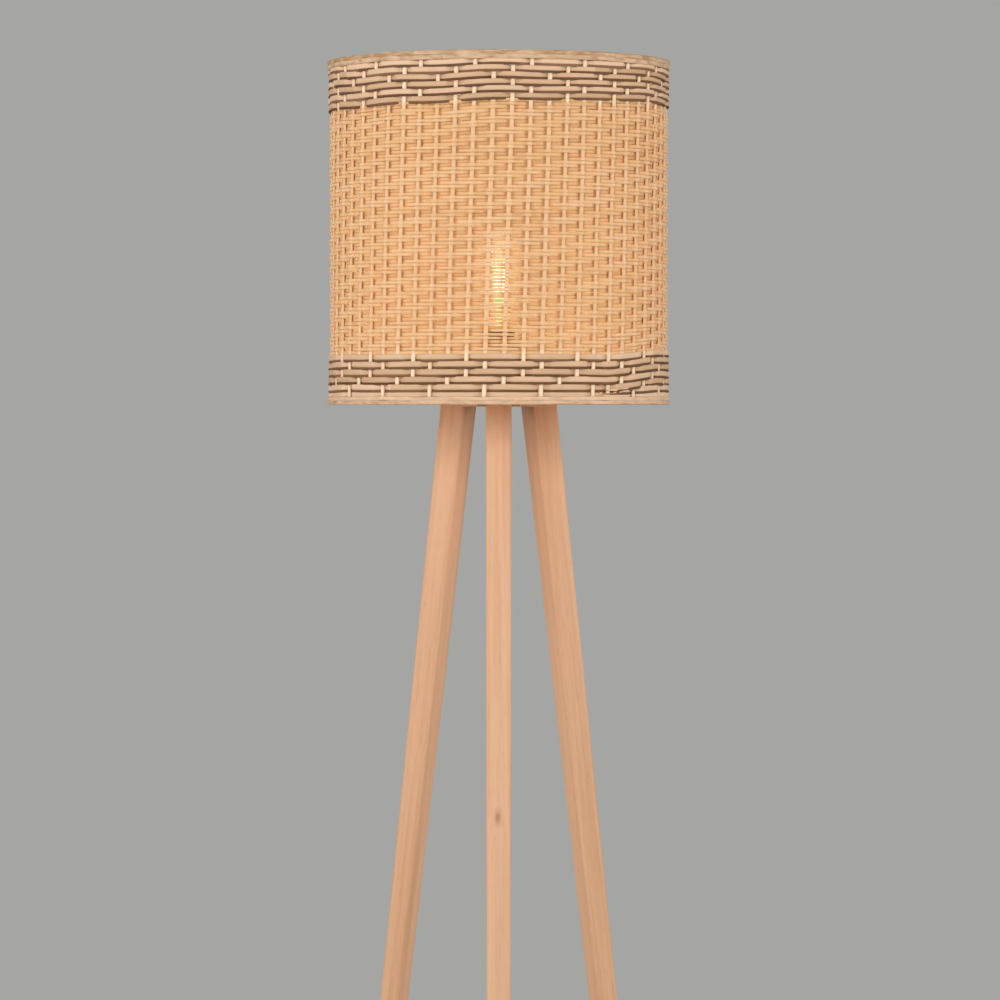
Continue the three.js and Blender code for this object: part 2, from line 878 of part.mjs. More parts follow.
// The fine weave as a closed band, with its relief outside and a plain face inside
function weaveWallShape() {
  const inner = stakeRingRadius - stakeDepth / 2 - weaverGap - weaveStrandThickness;
  const points = [];
  const columns = Array.from({ length: drumSides }, (_, side) => {
    const place = (side * stakeCount) / drumSides;
    const outside = weaveColumn(place);
    const inside = [outside.at(-1), outside[0]].map(({ z }) => polar(inner, stakeAzimuth(place, z), z));
    const first = points.length;
    points.push(...outside, ...inside);
    const face = Array.from(outside, (_, level) => first + level);
    return { face, back: [face.at(-1), face.at(-1) + 1, face.at(-1) + 2, first] };
  });
  const indices = [];
  columns.forEach((column, side) => {
    const next = columns[(side + 1) % drumSides];
    zipped(indices, points, column.face, next.face);
    for (let edge = 0; edge < column.back.length - 1; edge++) {
      const [from, to] = column.back.slice(edge, edge + 2);
      const [nextFrom, nextTo] = next.back.slice(edge, edge + 2);
      indices.push(from, nextFrom, to, nextFrom, nextTo, to);
    }
  });
  return indexed(points, indices);
}

function wovenPanelShape() {
  const stakes = Array.from({ length: stakeCount }, (_, index) => stakeEnds(index)).flat();
  return joined([weaveWallShape(), ...stakes]);
}

// One weaver of a band, of split cane: in front of two stakes and behind the third, all the way round
function weaverShape(middle, rowPitch, phase) {
  const rise = (rowPitch - weaverRowGap) / 2;
  const thick = weaverThickness / 2;
  const outside = stakeRingRadius + stakeDepth / 2 + weaverGap + thick;
  const behind = stakeRingRadius - stakeDepth / 2 - weaverGap - weaverSlack - thick;
  const bend = weaverBend / stakeRingRadius;
  const rings = [];
  for (let index = 0; index < stakeCount; index++) {
    const azimuth = stakeAzimuth(index, middle);
    const turn = (index + stakesPerStitch - phase) % stakesPerStitch;
    const radius = turn === 0 ? behind : outside;
    const bends = [0, -bend, bend];
    rings.push([
      polar(radius - thick, azimuth + bends[turn], middle - rise),
      polar(radius - thick, azimuth + bends[turn], middle + rise),
      polar(radius + thick, azimuth + bends[turn], middle),
    ]);
  }
  return closedLoft(rings);
}

function bandParts() {
  const parts = new THREE.Group();
  upperPegPhases.forEach((phase, row) => {
    const middle = upperBandTop - (row + 0.5) * upperRowPitch;
    const weaver = weaverShape(middle, upperRowPitch, phase);
    parts.add(piece(`upper_weaver_${row + 1}`, weaver, finishes.weaver()));
  });
  lowerPegPhases.forEach((phase, row) => {
    const middle = weaveBottom - (row + 0.5) * lowerRowPitch;
    const weaver = weaverShape(middle, lowerRowPitch, phase);
    parts.add(piece(`lower_weaver_${row + 1}`, weaver, finishes.weaver()));
  });
  return parts;
}

function shadeParts() {
  const parts = new THREE.Group();
  const fitting = tube(fittingBore / 2, fittingDiameter / 2, fittingBottom, fittingTop);
  const hoopSeat = bindingWeb + seatGap + hoopDiameter / 2;
  parts.add(
    piece("fitting_ring", fitting, finishes.wire()),
    piece("lower_hoop", hoopShape(rimHeight + hoopSeat), finishes.wire()),
    piece("upper_hoop", hoopShape(totalHeight - hoopSeat), finishes.wire()),
    piece("lower_binding", lowerBindingShape(), finishes.binding()),
    piece("upper_binding", upperBindingShape(), finishes.binding()),
    piece("woven_panel", wovenPanelShape(), finishes.panel()),
    bandParts(),
  );
  for (const [name, azimuth] of Object.entries(armAzimuths)) {
    parts.add(piece(`carrier_arm_${name}`, armShape(azimuth), finishes.wire()));
  }
  return parts;
}

// The whole lamp
const lamp = new THREE.Group();
for (const [name, azimuth] of Object.entries(legAzimuths)) {
  lamp.add(legSet(name, azimuth));
}
lamp.add(piece("hub", hubShape(), finishes.hubWood()));
lamp.add(tubeParts(), holderParts(), shadeParts(), ringParts(), bulbParts());

export default lamp;
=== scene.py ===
import json
from collections import namedtuple
from math import atan2, cos, pi, radians, sin, sqrt, tan

import bpy
import numpy as np
from mathutils import Matrix, Vector
from mathutils.geometry import interpolate_bezier


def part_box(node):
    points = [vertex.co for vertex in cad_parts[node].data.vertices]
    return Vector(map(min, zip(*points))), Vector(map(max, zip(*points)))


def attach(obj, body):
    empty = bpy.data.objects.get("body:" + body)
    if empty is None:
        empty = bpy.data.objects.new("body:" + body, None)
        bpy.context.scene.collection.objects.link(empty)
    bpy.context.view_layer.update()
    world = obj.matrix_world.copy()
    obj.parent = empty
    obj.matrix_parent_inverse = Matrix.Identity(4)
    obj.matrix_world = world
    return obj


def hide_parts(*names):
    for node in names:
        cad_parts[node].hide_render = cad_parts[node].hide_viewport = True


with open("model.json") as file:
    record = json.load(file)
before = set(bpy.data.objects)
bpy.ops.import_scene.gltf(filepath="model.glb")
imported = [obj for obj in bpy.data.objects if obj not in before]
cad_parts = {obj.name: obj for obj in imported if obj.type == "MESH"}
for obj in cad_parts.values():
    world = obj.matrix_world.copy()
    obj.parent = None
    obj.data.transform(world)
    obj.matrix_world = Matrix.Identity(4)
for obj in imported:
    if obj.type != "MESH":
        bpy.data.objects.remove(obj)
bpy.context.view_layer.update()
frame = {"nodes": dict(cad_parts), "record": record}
SCENE = bpy.context.scene
SLOT_OF = {row["node"]: row["material_slot"] for row in frame["record"]["subparts"]}
BODY_OF = {node: body for body, nodes in frame["record"]["behaviour"]["bodies"].items() for node in nodes}

MM = 0.001
TURN = 2 * pi

# The photograph's camera
CAMERA_DISTANCE = 5.26
CAMERA_SIDE = 1.5 * MM
CAMERA_HEIGHT = 1.1
CAMERA_PITCH = radians(1.21)
CAMERA_LENS = 162

# The studio. A light has a name, a place, a place that it points at, a width and height, and a power.
BACKDROP_COLOUR = (0.376, 0.381, 0.366)
WORLD_STRENGTH = 0.56
LIGHTS = (
    ("front_light", (-0.35, -3.5, 1.85), (0, 0, 1.0), (2.2, 1.3), 73),
    ("left_light", (-3.0, -0.9, 1.5), (0, 0, 0.9), (1.0, 2.2), 34),
    ("right_light", (3.0, -0.9, 1.5), (0, 0, 0.9), (1.0, 2.2), 34),
)
FLOOR_COLOURS = ((0.4, 0.4, 0.385), (0.42, 0.42, 0.405))
FLOOR_PLAIN_RADIUS = 1.2
FLOOR_RADIUS = 2.4

# The drum, from the frame
RIM_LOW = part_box("lower_binding")[0].z
RIM_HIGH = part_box("upper_binding")[1].z
DRUM_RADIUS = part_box("upper_binding")[1].x
DRUM_HEIGHT = RIM_HIGH - RIM_LOW

# Stakes. They are deeper and paler in the bands, which reach this far in from the rims.
STAKES = 57
STAKE_STEPS = 60
STAKE_WIDTH = 5 * MM
STAKE_WIDTH_SHARES = (0.9, 1.06)
STAKE_DEPTH = 3.0 * MM
WOVEN_STAKE_DEPTH = 2.7 * MM
STAKE_RADIUS = DRUM_RADIUS - 5.4 * MM
STAKE_FIRST = radians(-164.4)
STAKE_LEAN = radians(3.6)
STAKE_INSET = 3.5 * MM
STAKE_STRAY = 0.35 * MM
STAKE_BENDS = 8
STAKE_TONE = 0.35
STAKE_BAND_TONE = 0.9
STAKE_CANE_LENGTH = 3.1
BAND_REACH = 66 * MM
BAND_BLEND = 8 * MM

# Bands: pairs of a pale strand over a dark cord, over two stakes and behind the third. A band starts at an
# azimuth, with its first cord at a height. way is 1 where its rows are counted upward and -1 where downward,
# pegs says which stakes stand in front of each row, and extra is how far round the last row runs on. slant is
# the share by which rows stand wider apart on the left of the lamp, and waviness is how far the rows stray.
Band = namedtuple("Band", "start first pitch rows pegs way extra slant waviness seed")
LOWER = Band(
    start=radians(-52), first=RIM_LOW + 15.7 * MM, pitch=8.65 * MM, rows=5, pegs=(2, 0, 1, 2, 1, 0), way=1,
    extra=radians(195), slant=0, waviness=0.25 * MM, seed=11,
)
UPPER = Band(
    start=radians(96), first=RIM_HIGH - 17 * MM, pitch=7.85 * MM, rows=6, pegs=(1, 0, 2, 0, 1, 0, 2), way=-1,
    extra=0, slant=0.09, waviness=1 * MM, seed=23,
)
STITCH = 3
CORD_RADIUS = 1.35 * MM
CORD_BOW = 0.12 * MM
CORD_SWELL = 0.14
CORD_SWELL_SPACING = 0.06
STRAND_BOW = 0.08
STRAND_FILL = 1.02
FIRST_ROW_TONE = 0.3
DRIFT = 0.4 * MM
DRIFT_SPACING = 0.33
DIVE = (0.35, 0.95)
STRAND_THICKNESS = 2.5 * MM
BAND_GAP = 0.1 * MM
CLIMB = radians(29)
EASED_SHARE = 0.4
SQUEEZE = 0.055
PLACE_NUDGE = 1e-9
ROW_NUDGE = 0.001
TIP_SHARE = 0.3
START_TAPER = 0.4 * CLIMB
END_TAPER = 0.5 * CLIMB
START_DROP = 3.2 * MM
START_BLEND = 0.03
BAND_STEPS = 9

# The fine weave between the bands. It fits itself to each band over a share of its height.
WEFT_ROWS = 71
WEFT_WIDTH = 3.84 * MM
WEFT_WIDTH_CHANGE = 0.1
WEFT_THICKNESS = 1.2 * MM
WEFT_SPOTS = (0, 0.09, 0.19, 0.32, 0.5, 0.68, 0.81, 0.91)
WEFT_OVER = (0.08, 0.19)
WEFT_BEHIND = (0.13, 0.38)
WEFT_SUNK = 0.4
WEFT_TUCK_TOP = -0.5 * MM
WEFT_TUCK_BOTTOM = 5.2 * MM
WEFT_FIT_SHARE = 0.28
WEFT_SLACK = 0.5 * MM
WEFT_JITTER = 0.12 * MM
WEFT_STRAY = 0.28 * MM
WEFT_STRAY_SPACING = 9
WEFT_WIDTH_SPACING = 5
WEFT_TONE = 0.42
WEFT_CANE_TONE = 0.3
# Painted highlight: the weft is painted paler where it crosses over a stake. Painted shade: it is painted
# darker where it runs behind a stake or sinks between stakes.
WEFT_OVER_PAINTED_HIGHLIGHT = 0.26
WEFT_BEHIND_PAINTED_SHADE = 0.48

# A patch at the front where the fine weave is a little looser and lets the bulb and its holder show. A
# smaller patch over the bulb is painted paler, as painted bulb light seen through the weave.
PATCH_ANGLE = radians(-90)
LOOSE_HEIGHT = 1.225
LOOSE_REACH = (radians(6), 0.07)
LOOSENESS = 0.125
PAINTED_GLOW_HEIGHT = 1.258
PAINTED_GLOW_REACH = (radians(4.5), 0.043)
PAINTED_BULB_GLOW = 0.5

# Rims. An outer cane has its distance in from the drum's face, its rise and half its width as shares of the
# rim's reach, and half its thickness. An inner cane has its distance out from the inner face, and the same.
LOWER_RIM_REACH = 9.4 * MM
UPPER_RIM_REACH = 10.9 * MM
RIM_INSET = 4.6 * MM
OUTER_CANES = ((1.5 * MM, 0.3, 0.24, 1.3 * MM), (1.55 * MM, 0.74, 0.26, 1.25 * MM))
INNER_CANES = (
    (0, 3.1 * MM, 2.4 * MM, 1.3 * MM),
    (0.2 * MM, 7.2 * MM, 2.1 * MM, 1.2 * MM),
    (0.3 * MM, 11.3 * MM, 1.9 * MM, 1.1 * MM),
)
RIM_WAVE = 0.22 * MM
RIM_SWELL = 0.05
RIM_STRAY = 0.05 * MM
RIM_TOP_INSET = 0.2 * MM
RIM_TOP_RISE = 1.25 * MM
RIM_TOP_WAVE = 0.1 * MM
RIM_TOP_HALF = 0.9 * MM
HOOP_STEPS = 4

# Seeds of the random draws
SEEDS = dict(
    stakes=57, stray=200, drift=100, strand=7, edge_strand=17, cord=70, cord_swell=5, weft=3, weft_stray=8,
    weft_width=13, rim=9, rim_wave=31, rim_swell=61, rim_stray=5, rim_top=77, rim_top_wave=3,
)

# Lengths of the canes that follow one another along a strand, and where the wood of a cane starts
STRAND_CANE = 0.33
CORD_CANE = 0.21
WEFT_CANE_LENGTH = 1.9
RIM_CANE_LENGTH = 0.42
RIM_CANE_SPACING = 5
RIM_TOP_CANE_LENGTH = 0.5
RIM_TOP_CANE_START = 40
STRAND_ROUND = 0.01

# Legs: sections level with the shade's lower rim and at the floor
LEG_AZIMUTHS = {"front": -90, "rear_right": 30, "rear_left": 150}
LEG_SPLAY = radians(7.17)
LEG_HUB_DEPTH = 34 * MM
LEG_HUB_WIDTH = 29.8 * MM
LEG_FLOOR_DEPTH = 20.4 * MM
LEG_FLOOR_WIDTH = 26.4 * MM
LEG_EDGE = 3.5 * MM
LEG_CORNER_STEPS = 8
LEG_STEPS = 30
KNOT = (12 * MM, -1 * MM, 0.632)

# Floor glides, threaded tube, bushing and bolts
GLIDE_HEIGHT = 5 * MM
GLIDE_PIN_RADIUS = 1.5 * MM
SEAT_GAP = 0.3 * MM
TUBE_WALL = 1.5 * MM
BUSHING_FLANGE = 2 * MM
BUSHING_BORE = 2.5 * MM
BOLT_HEAD_DIAMETER = 12 * MM
BOLT_HEAD_HEIGHT = 3.5 * MM
BOLT_DIAMETER = 6 * MM
BOLT_SOCKET_ACROSS = 4 * MM
BOLT_SOCKET_DEPTH = 2 * MM
BOLT_SOCKET_SHARE = 1.1

# Lamp holder and shade ring
HOLDER_FOOT = 15 * MM
HOLDER_WALL = 2.4 * MM
HOLDER_FLARE = 3 * MM
HOLDER_SHOULDER = 9 * MM
HOLDER_FLOOR = 6 * MM
HOLDER_SEAT = 9.6 * MM
HOLDER_FLANGE = 2.6 * MM
SKIRT_RADIUS = 19.5 * MM
SKIRT_BORE = 16.5 * MM
INSERT_NECK = 11 * MM
INSERT_LEDGE = 7 * MM
SHELL_BORE = 13.3 * MM
SHELL_WALL = 0.5 * MM
RING_BORE = 19.9 * MM
COLLAR_RADIUS = 25 * MM
COLLAR_RIBS = 20
COLLAR_RIB_DEPTH = 1 * MM
COLLAR_RIB_PHASE = 0.675
COLLAR_RIB_SHARES = (-0.5, 0.3)

# The lit bulb
FILAMENT_STRENGTH = 0.95
BULB_POWER = 2.4
BULB_COLOUR = (0.86, 0.95, 1.0)
BULB_LIGHT_RADIUS = 4 * MM
CAP_WALL = 0.5 * MM
CAP_LIP = 2.6 * MM
INSULATOR_TIP = 5.5 * MM
GLASS_WALL = 1 * MM
GLASS_NECK = 12.2 * MM
GLASS_NECK_HEIGHT = 9 * MM
GLASS_BELLY_SHARE = 0.66
GLASS_FLARE_SHARES = ((0.05, 0.3), (1, 0.46))
GLASS_FLARE_STEPS = 28
GLASS_DOME_STEPS = 20
STEM_FOOT = 10.9 * MM
STEM_FOOT_HEIGHT = 1.2 * MM
STEM_FLARE = 8 * MM
STEM_FLARE_SHARE = 1.5
STEM_HEIGHT = 38 * MM
STEM_RADIUS = 3 * MM
STEM_ROD_RADIUS = 0.9 * MM
FILAMENTS = 4
FILAMENT_RADIUS = 1.7 * MM
FILAMENT_REACHES = (5.5 * MM, 8 * MM)
FILAMENT_INSET = 0.2 * MM
WIRE_RADIUS = 0.35 * MM
WIRE_REACH = 0.9 * MM
WIRE_OVERRUN = 0.4 * MM

# Shade frame
ARM_AZIMUTHS = {"back": 90, "left": 210, "right": -30}
FITTING_BORE = 21 * MM
FITTING_EDGE = 0.5 * MM
FRAME_WIRE_RADIUS = 2 * MM
ARM_SEAT = 1.3 * MM

# Threads and rounded edges
BULB_THREAD_PITCH = 3.629 * MM
BULB_THREAD_DEPTH = 0.75 * MM
BULB_THREAD_TURNS = 2.8
BULB_THREAD_RUNOUT = 0.3 * BULB_THREAD_PITCH
SHELL_THREAD_DEPTH = 0.2 * MM
SHELL_THREAD_RUNOUT = 2 * MM
SHELL_LIP = 1 * MM
SKIRT_THREAD_PITCH = 2.5 * MM
SKIRT_THREAD_DEPTH = 0.8 * MM
TUBE_THREAD_PITCH = 1 * MM
TUBE_THREAD_DEPTH = 0.3 * MM
THREAD_STEPS = 8
PART_EDGE = 0.6 * MM
SOFT_EDGE = 1.5 * MM
FINE_EDGE = 0.3 * MM
CONTACT_EDGE = 0.15 * MM

# Mesh helpers
CORNER_SHARE = 0.45
WELD_DISTANCE = 0.01 * MM
SHARP_ANGLE = radians(35)


def add_object(name, data):
    thing = bpy.data.objects.new(name, data)
    SCENE.collection.objects.link(thing)
    return thing


def mesh_object(name, points, faces, values=None):
    """A smooth mesh. values are the strand attribute's, one for each point."""
    mesh = bpy.data.meshes.new(name)
    mesh.from_pydata(np.reshape(points, (-1, 3)).tolist(), [], faces)
    mesh.validate()
    mesh.shade_smooth()
    if values is not None:
        attribute = mesh.attributes.new("strand", "FLOAT_VECTOR", "POINT")
        attribute.data.foreach_set("vector", np.asarray(values, np.float32).ravel())
    return add_object(name, mesh)


def grid_faces(rings, count, first=0, closed=False):
    """Quads between rings of count points each, which run anticlockwise seen against the way of the rings."""
    faces = []
    last = rings if closed else rings - 1
    for ring in range(last):
        here = first + ring * count
        there = first + ((ring + 1) % rings) * count
        for i in range(count):
            j = (i + 1) % count
            faces.append((here + i, here + j, there + j, there + i))
    if not closed:
        faces.append(tuple(first + i for i in reversed(range(count))))
        faces.append(tuple(first + (rings - 1) * count + i for i in range(count)))
    return faces


def turned(name, profile, sides=64, swell=None):
    """A profile of (radius, height) pairs, running up the outside, turned about Z. It is closed unless it
    starts on the axis. swell(radius, height, azimuth) may change the radius."""
    angles = [TURN * i / sides for i in range(sides)]
    points = []
    faces = []
    rings = []
    for radius, height in profile:
        count = sides if radius > 0 else 1
        rings.append((len(points), count))
        for angle in angles[:count]:
            reach = swell(radius, height, angle) if swell and radius > 0 else radius
            points.append((reach * cos(angle), reach * sin(angle), height))
    pairs = list(zip(rings, rings[1:]))
    if profile[0][0] > 0:
        pairs.append((rings[-1], rings[0]))
    for (low, low_count), (high, high_count) in pairs:
        for i in range(sides):
            j = (i + 1) % sides
            face = (low + i % low_count, low + j % low_count, high + j % high_count, high + i % high_count)
            if len(set(face)) > 2:
                faces.append(tuple(dict.fromkeys(face)))
    return mesh_object(name, points, faces)


def rounded(profile, radius, steps=4):
    """The same profile with its corners rounded by arcs, ends left as they are."""
    result = [profile[0]]
    for before, corner, after in zip(profile, profile[1:], profile[2:]):
        here = Vector(corner)
        back = Vector(before) - here
        ahead = Vector(after) - here
        reach = min(radius, CORNER_SHARE * back.length, CORNER_SHARE * ahead.length)
        start = here + back.normalized() * reach
        end = here + ahead.normalized() * reach
        for step in range(steps + 1):
            t = step / steps
            point = (1 - t) ** 2 * start + 2 * t * (1 - t) * here + t**2 * end
            result.append((point.x, point.y))
    result.append(profile[-1])
    return result


def rounded_loop(profile, radius):
    """A closed profile with its corners rounded, apart from the first."""
    return rounded([*profile, profile[0]], radius)[:-1]


def stepped(*turns):
    """A profile that goes level and upright in turn: radius, height, radius, height and so on."""
    return [(b, a) if index % 2 else (a, b) for index, (a, b) in enumerate(zip(turns, turns[1:]))]


def ring_profile(inner, outer, low, high, edge):
    """A closed rectangular profile with rounded corners."""
    middle = (inner + outer) / 2
    return rounded_loop(stepped(middle, low, outer, high, inner, low), edge)


def span(node):
    """Lowest height, highest height and greatest radius of a round CAD node on the lamp's axis."""
    low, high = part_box(node)
    return low.z, high.z, high.x


def centre(node):
    return sum(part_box(node), Vector()) / 2


def soften_node(node, width, material):
    """A copy of a CAD node's mesh with its edges eased, in the node's place."""
    thing = add_object(node + "_smooth", frame["nodes"][node].data.copy())
    weld = thing.modifiers.new("weld", "WELD")
    weld.merge_threshold = WELD_DISTANCE
    bevel = thing.modifiers.new("bevel", "BEVEL")
    bevel.width = width
    bevel.segments = 2
    bevel.limit_method = "ANGLE"
    bevel.angle_limit = SHARP_ANGLE
    bevel.harden_normals = True
    graph = bpy.context.evaluated_depsgraph_get()
    mesh = bpy.data.meshes.new_from_object(thing.evaluated_get(graph))
    thing.modifiers.clear()
    thing.data = mesh
    dress_node(thing, node, material)


def dress(thing, body, slot, material, *replaced):
    thing.data.materials.clear()
    thing.data.materials.append(material)
    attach(thing, body)
    if replaced:
        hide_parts(*replaced)


def dress_node(thing, node, material):
    """Rides on the node's own body and takes the node's place."""
    dress(thing, BODY_OF[node], SLOT_OF[node], material, node)


# Material helpers
def new_material(name, **sockets):
    material = bpy.data.materials.new(name)
    material.use_nodes = True
    shader = material.node_tree.nodes["Principled BSDF"]
    for key, value in sockets.items():
        shader.inputs[key.replace("_", " ")].default_value = value
    return material, material.node_tree, shader


def add(tree, kind, inputs=(), **settings):
    """A shader node with its settings, and its inputs given as values or as sockets to link."""
    node = tree.nodes.new("ShaderNode" + kind)
    for key, value in settings.items():
        setattr(node, key, value)
    for key, value in dict(inputs).items():
        if isinstance(value, bpy.types.NodeSocket):
            tree.links.new(value, node.inputs[key])
        else:
            node.inputs[key].default_value = value
    return node


def ramp(tree, factor, places, colours):
    node = add(tree, "ValToRGB", {"Fac": factor})
    elements = node.color_ramp.elements
    while len(elements) < len(places):
        elements.new(0.5)
    for element, place, colour in zip(elements, places, colours):
        element.position = place
        element.color = (*colour, 1)
    return node.outputs["Color"]


def math_node(tree, operation, first, second):
    return add(tree, "Math", {0: first, 1: second}, operation=operation).outputs[0]


def weighed(tree, start, *terms):
    """The start plus each term's value times its weight."""
    total = start
    for value, weight in terms:
        total = math_node(tree, "ADD", total, math_node(tree, "MULTIPLY", value, weight))
    return total


def vector_node(tree, operation, *vectors):
    return add(tree, "VectorMath", dict(enumerate(vectors)), operation=operation).outputs


def multiplied(tree, factor, first, second):
    """The first colour multiplied by the second, by the factor."""
    inputs = {0: factor, 6: first, 7: second}
    return add(tree, "Mix", inputs, data_type="RGBA", blend_type="MULTIPLY").outputs[2]


def noise(tree, place, scales, detail, roughness=0.5, distortion=0.0):
    """Noise over a place that is first multiplied by a scale, or by scales along X, Y and Z."""
    inputs = {
        "Vector": vector_node(tree, "MULTIPLY", place, np.broadcast_to(scales, 3))[0],
        "Scale": 1.0,
        "Detail": detail,
        "Roughness": roughness,
        "Distortion": distortion,
    }
    return add(tree, "TexNoise", inputs).outputs["Fac"]


def paint(tree, shader, colour):
    tree.links.new(colour, shader.inputs["Base Color"])


def bump(tree, height, strength, distance, shader):
    node = add(tree, "Bump", {"Height": height, "Strength": strength, "Distance": distance})
    tree.links.new(node.outputs["Normal"], shader.inputs["Normal"])


def cover(tree, factor, first, second, output="Material Output"):
    """The output shows the first shader, mixed with the second by the factor."""
    mix = add(tree, "MixShader", {0: factor, 1: first.outputs[0], 2: second.outputs[0]})
    tree.links.new(mix.outputs[0], tree.nodes[output].inputs["Surface"])


def object_place(tree):
    return add(tree, "TexCoord").outputs["Object"]


def strand_place(tree):
    return add(tree, "Attribute", attribute_name="strand").outputs["Vector"]


def rattan(name, colours, roughness=0.55, fibre=0.5, glow=0.0, patch=(16, 60, 90), mottle=0.35):
    """Cane, dark to pale. The strand attribute holds the way along, the way round and the tone; in the fine
    weave the tone also carries painted shade, painted highlights and painted bulb light. fibre is the
    strength of the bumps, glow the light that comes through, and patch and mottle are the blotches."""
    material, tree, shader = new_material(name, Roughness=roughness, Specular_IOR_Level=0.2)
    strand = strand_place(tree)
    tone = add(tree, "SeparateXYZ", {0: strand}).outputs["Z"]
    streaks = noise(tree, strand, (55, 1400, 40), 4.0, 0.6)
    patches = noise(tree, strand, patch, 2.0)
    mixed = weighed(tree, (0.35 - mottle) / 2, (streaks, 0.45), (patches, mottle), (tone, 0.35))
    colour = ramp(tree, mixed, (0.3, 0.56, 0.82), colours)
    paint(tree, shader, colour)
    bump(tree, streaks, fibre, 0.25 * MM, shader)
    if glow:
        cover(tree, glow, shader, add(tree, "BsdfTranslucent", {"Color": colour}))
    return material


def leg_wood(name, seed, place_of, knots=()):
    """Light beech, with its grain along the Z of the place given."""
    material, tree, shader = new_material(name, Roughness=0.55, Specular_IOR_Level=0.25)
    grain = place_of(tree)
    place = vector_node(tree, "ADD", grain, (seed, 2.3 * seed, 5.1 * seed))[0]
    broad = noise(tree, place, (22, 22, 1.1), 3.0, 0.5, 0.4)
    streaks = noise(tree, place, (240, 240, 5), 4.0, 0.6)
    pores = noise(tree, place, (1500, 1500, 55), 2.0)
    mixed = weighed(tree, 0, (broad, 0.55), (streaks, 0.4), (pores, 0.12))
    wood = ((0.5, 0.26, 0.13), (0.6, 0.34, 0.195), (0.66, 0.4, 0.245))
    flecks = ramp(tree, pores, (0.28, 0.4), ((0.78, 0.72, 0.66), (1, 1, 1)))
    colour = multiplied(tree, 0.5, ramp(tree, mixed, (0.36, 0.54, 0.72), wood), flecks)
    for knot in knots:
        near = vector_node(tree, "SUBTRACT", grain, knot)[0]
        near = vector_node(tree, "MULTIPLY", near, (1, 1, 0.45))[0]
        length = vector_node(tree, "LENGTH", near)["Value"]
        wobble = math_node(tree, "MULTIPLY", streaks, 1.5 * MM)
        reach = math_node(tree, "MULTIPLY", math_node(tree, "SUBTRACT", length, wobble), 160)
        ring = ((0.55, 0.45, 0.4), (0.86, 0.82, 0.78), (1, 1, 1))
        colour = multiplied(tree, 1.0, colour, ramp(tree, reach, (0.12, 0.5, 0.9), ring))
    paint(tree, shader, colour)
    bump(tree, math_node(tree, "ADD", pores, streaks), 0.12, 0.3 * MM, shader)
    return material


def speckled(name, colours, roughness, spots, bumps, strength, stops=(0.3, 0.7), depth=0.1 * MM, **sockets):
    """A plain material of two close colours, with spots and bumps that each have a scale and a detail."""
    material, tree, shader = new_material(name, Roughness=roughness, **sockets)
    place = object_place(tree)
    paint(tree, shader, ramp(tree, noise(tree, place, *spots), stops, colours))
    bump(tree, noise(tree, place, *bumps), strength, depth, shader)
    return material


def glass_material(name, glow):
    """Thin clear glass that lets the light of the filaments out and catches some of it, shown as a faint
    emission that is a painted glow.
    """
    material, tree, shader = new_material(name, Roughness=0.02, Transmission_Weight=1.0, IOR=1.3)
    tint = noise(tree, object_place(tree), 30, 2.0)
    paint(tree, shader, ramp(tree, tint, (0.3, 0.7), ((0.97, 0.9, 0.78), (1.0, 0.95, 0.86))))
    shader.inputs["Emission Color"].default_value = (1.0, 0.72, 0.36, 1)
    shader.inputs["Emission Strength"].default_value = glow
    clear = add(tree, "BsdfTransparent", {"Color": (1.0, 0.95, 0.86, 1)})
    cover(tree, add(tree, "LightPath").outputs["Is Shadow Ray"], shader, clear)
    return material


def filament_material():
    material, tree, shader = new_material("filament", Roughness=0.5)
    beads = noise(tree, object_place(tree), (200, 200, 900), 1.0)
    glow = ramp(tree, beads, (0.3, 0.6), ((1.0, 0.62, 0.28), (1.0, 0.75, 0.4)))
    paint(tree, shader, glow)
    tree.links.new(glow, shader.inputs["Emission Color"])
    shader.inputs["Emission Strength"].default_value = FILAMENT_STRENGTH
    return material


# Weaving: places on the drum
rng = np.random.default_rng(SEEDS["stakes"])


def lean(height):
    return STAKE_LEAN * (height - RIM_LOW) / DRUM_HEIGHT


def smooth(t):
    t = np.clip(t, 0, 1)
    return t * t * (3 - 2 * t)


def waves(angle, harmonics, seed):
    """A smooth closed wave round the drum, between about -1 and 1."""
    phases = np.random.default_rng(seed).uniform(0, TURN, len(harmonics))
    total = sum(np.sin(h * angle + p) for h, p in zip(harmonics, phases))
    return total / sqrt(len(harmonics))


def wander(places, spacing, seed):
    """Random values between -1 and 1 at even spacing, joined by straight lines."""
    knots = np.arange(0, places.max() + 2 * spacing, spacing)
    return np.interp(places, knots, np.random.default_rng(seed).uniform(-1, 1, len(knots)))


def tones(places, length, seed):
    """A tone between 0 and 1 for each place along a strand, changing where one cane follows another."""
    cuts = (places / length).astype(int)
    return np.random.default_rng(seed).uniform(0, 1, cuts.max() + 2)[cuts]


# Sections of a strand, as (outward, upward) shares of half its thickness and half its height
FLAT_SECTION = ((1, -0.5), (1, 0.5), (0.45, 1), (-0.45, 1), (-1, 0.5), (-1, -0.5), (-0.45, -1), (0.45, -1))
FINE_SECTION = ((1, -0.92), (1, 0.92), (0, 1), (-1, 0.8), (-1, -0.8), (0, -1))
BAND_SECTION = (
    (0.75, -0.88), (1, -0.5), (1, 0.5), (0.75, 0.88), (0.1, 1),
    (-0.6, 1), (-1, 0.5), (-1, -0.5), (-0.6, -1), (0.1, -1),
)
ROUND_SECTION = tuple((cos(TURN * i / 8), sin(TURN * i / 8)) for i in range(8))


def column(value):
    """A row for each ring, unless the value is a grid already."""
    return value if np.ndim(value) == 2 else np.reshape(value, (-1, 1))


def sweep(radius, angle, height, half_height, half_thickness, section):
    """Rings of a strand's section along a path given by its radius, azimuth and height."""
    outs, ups = np.array(section).T
    reach = column(radius) + column(half_thickness) * outs
    rise = column(height) + column(half_height) * ups
    angle = column(angle)
    return np.stack(np.broadcast_arrays(reach * np.cos(angle), reach * np.sin(angle), rise), axis=2)


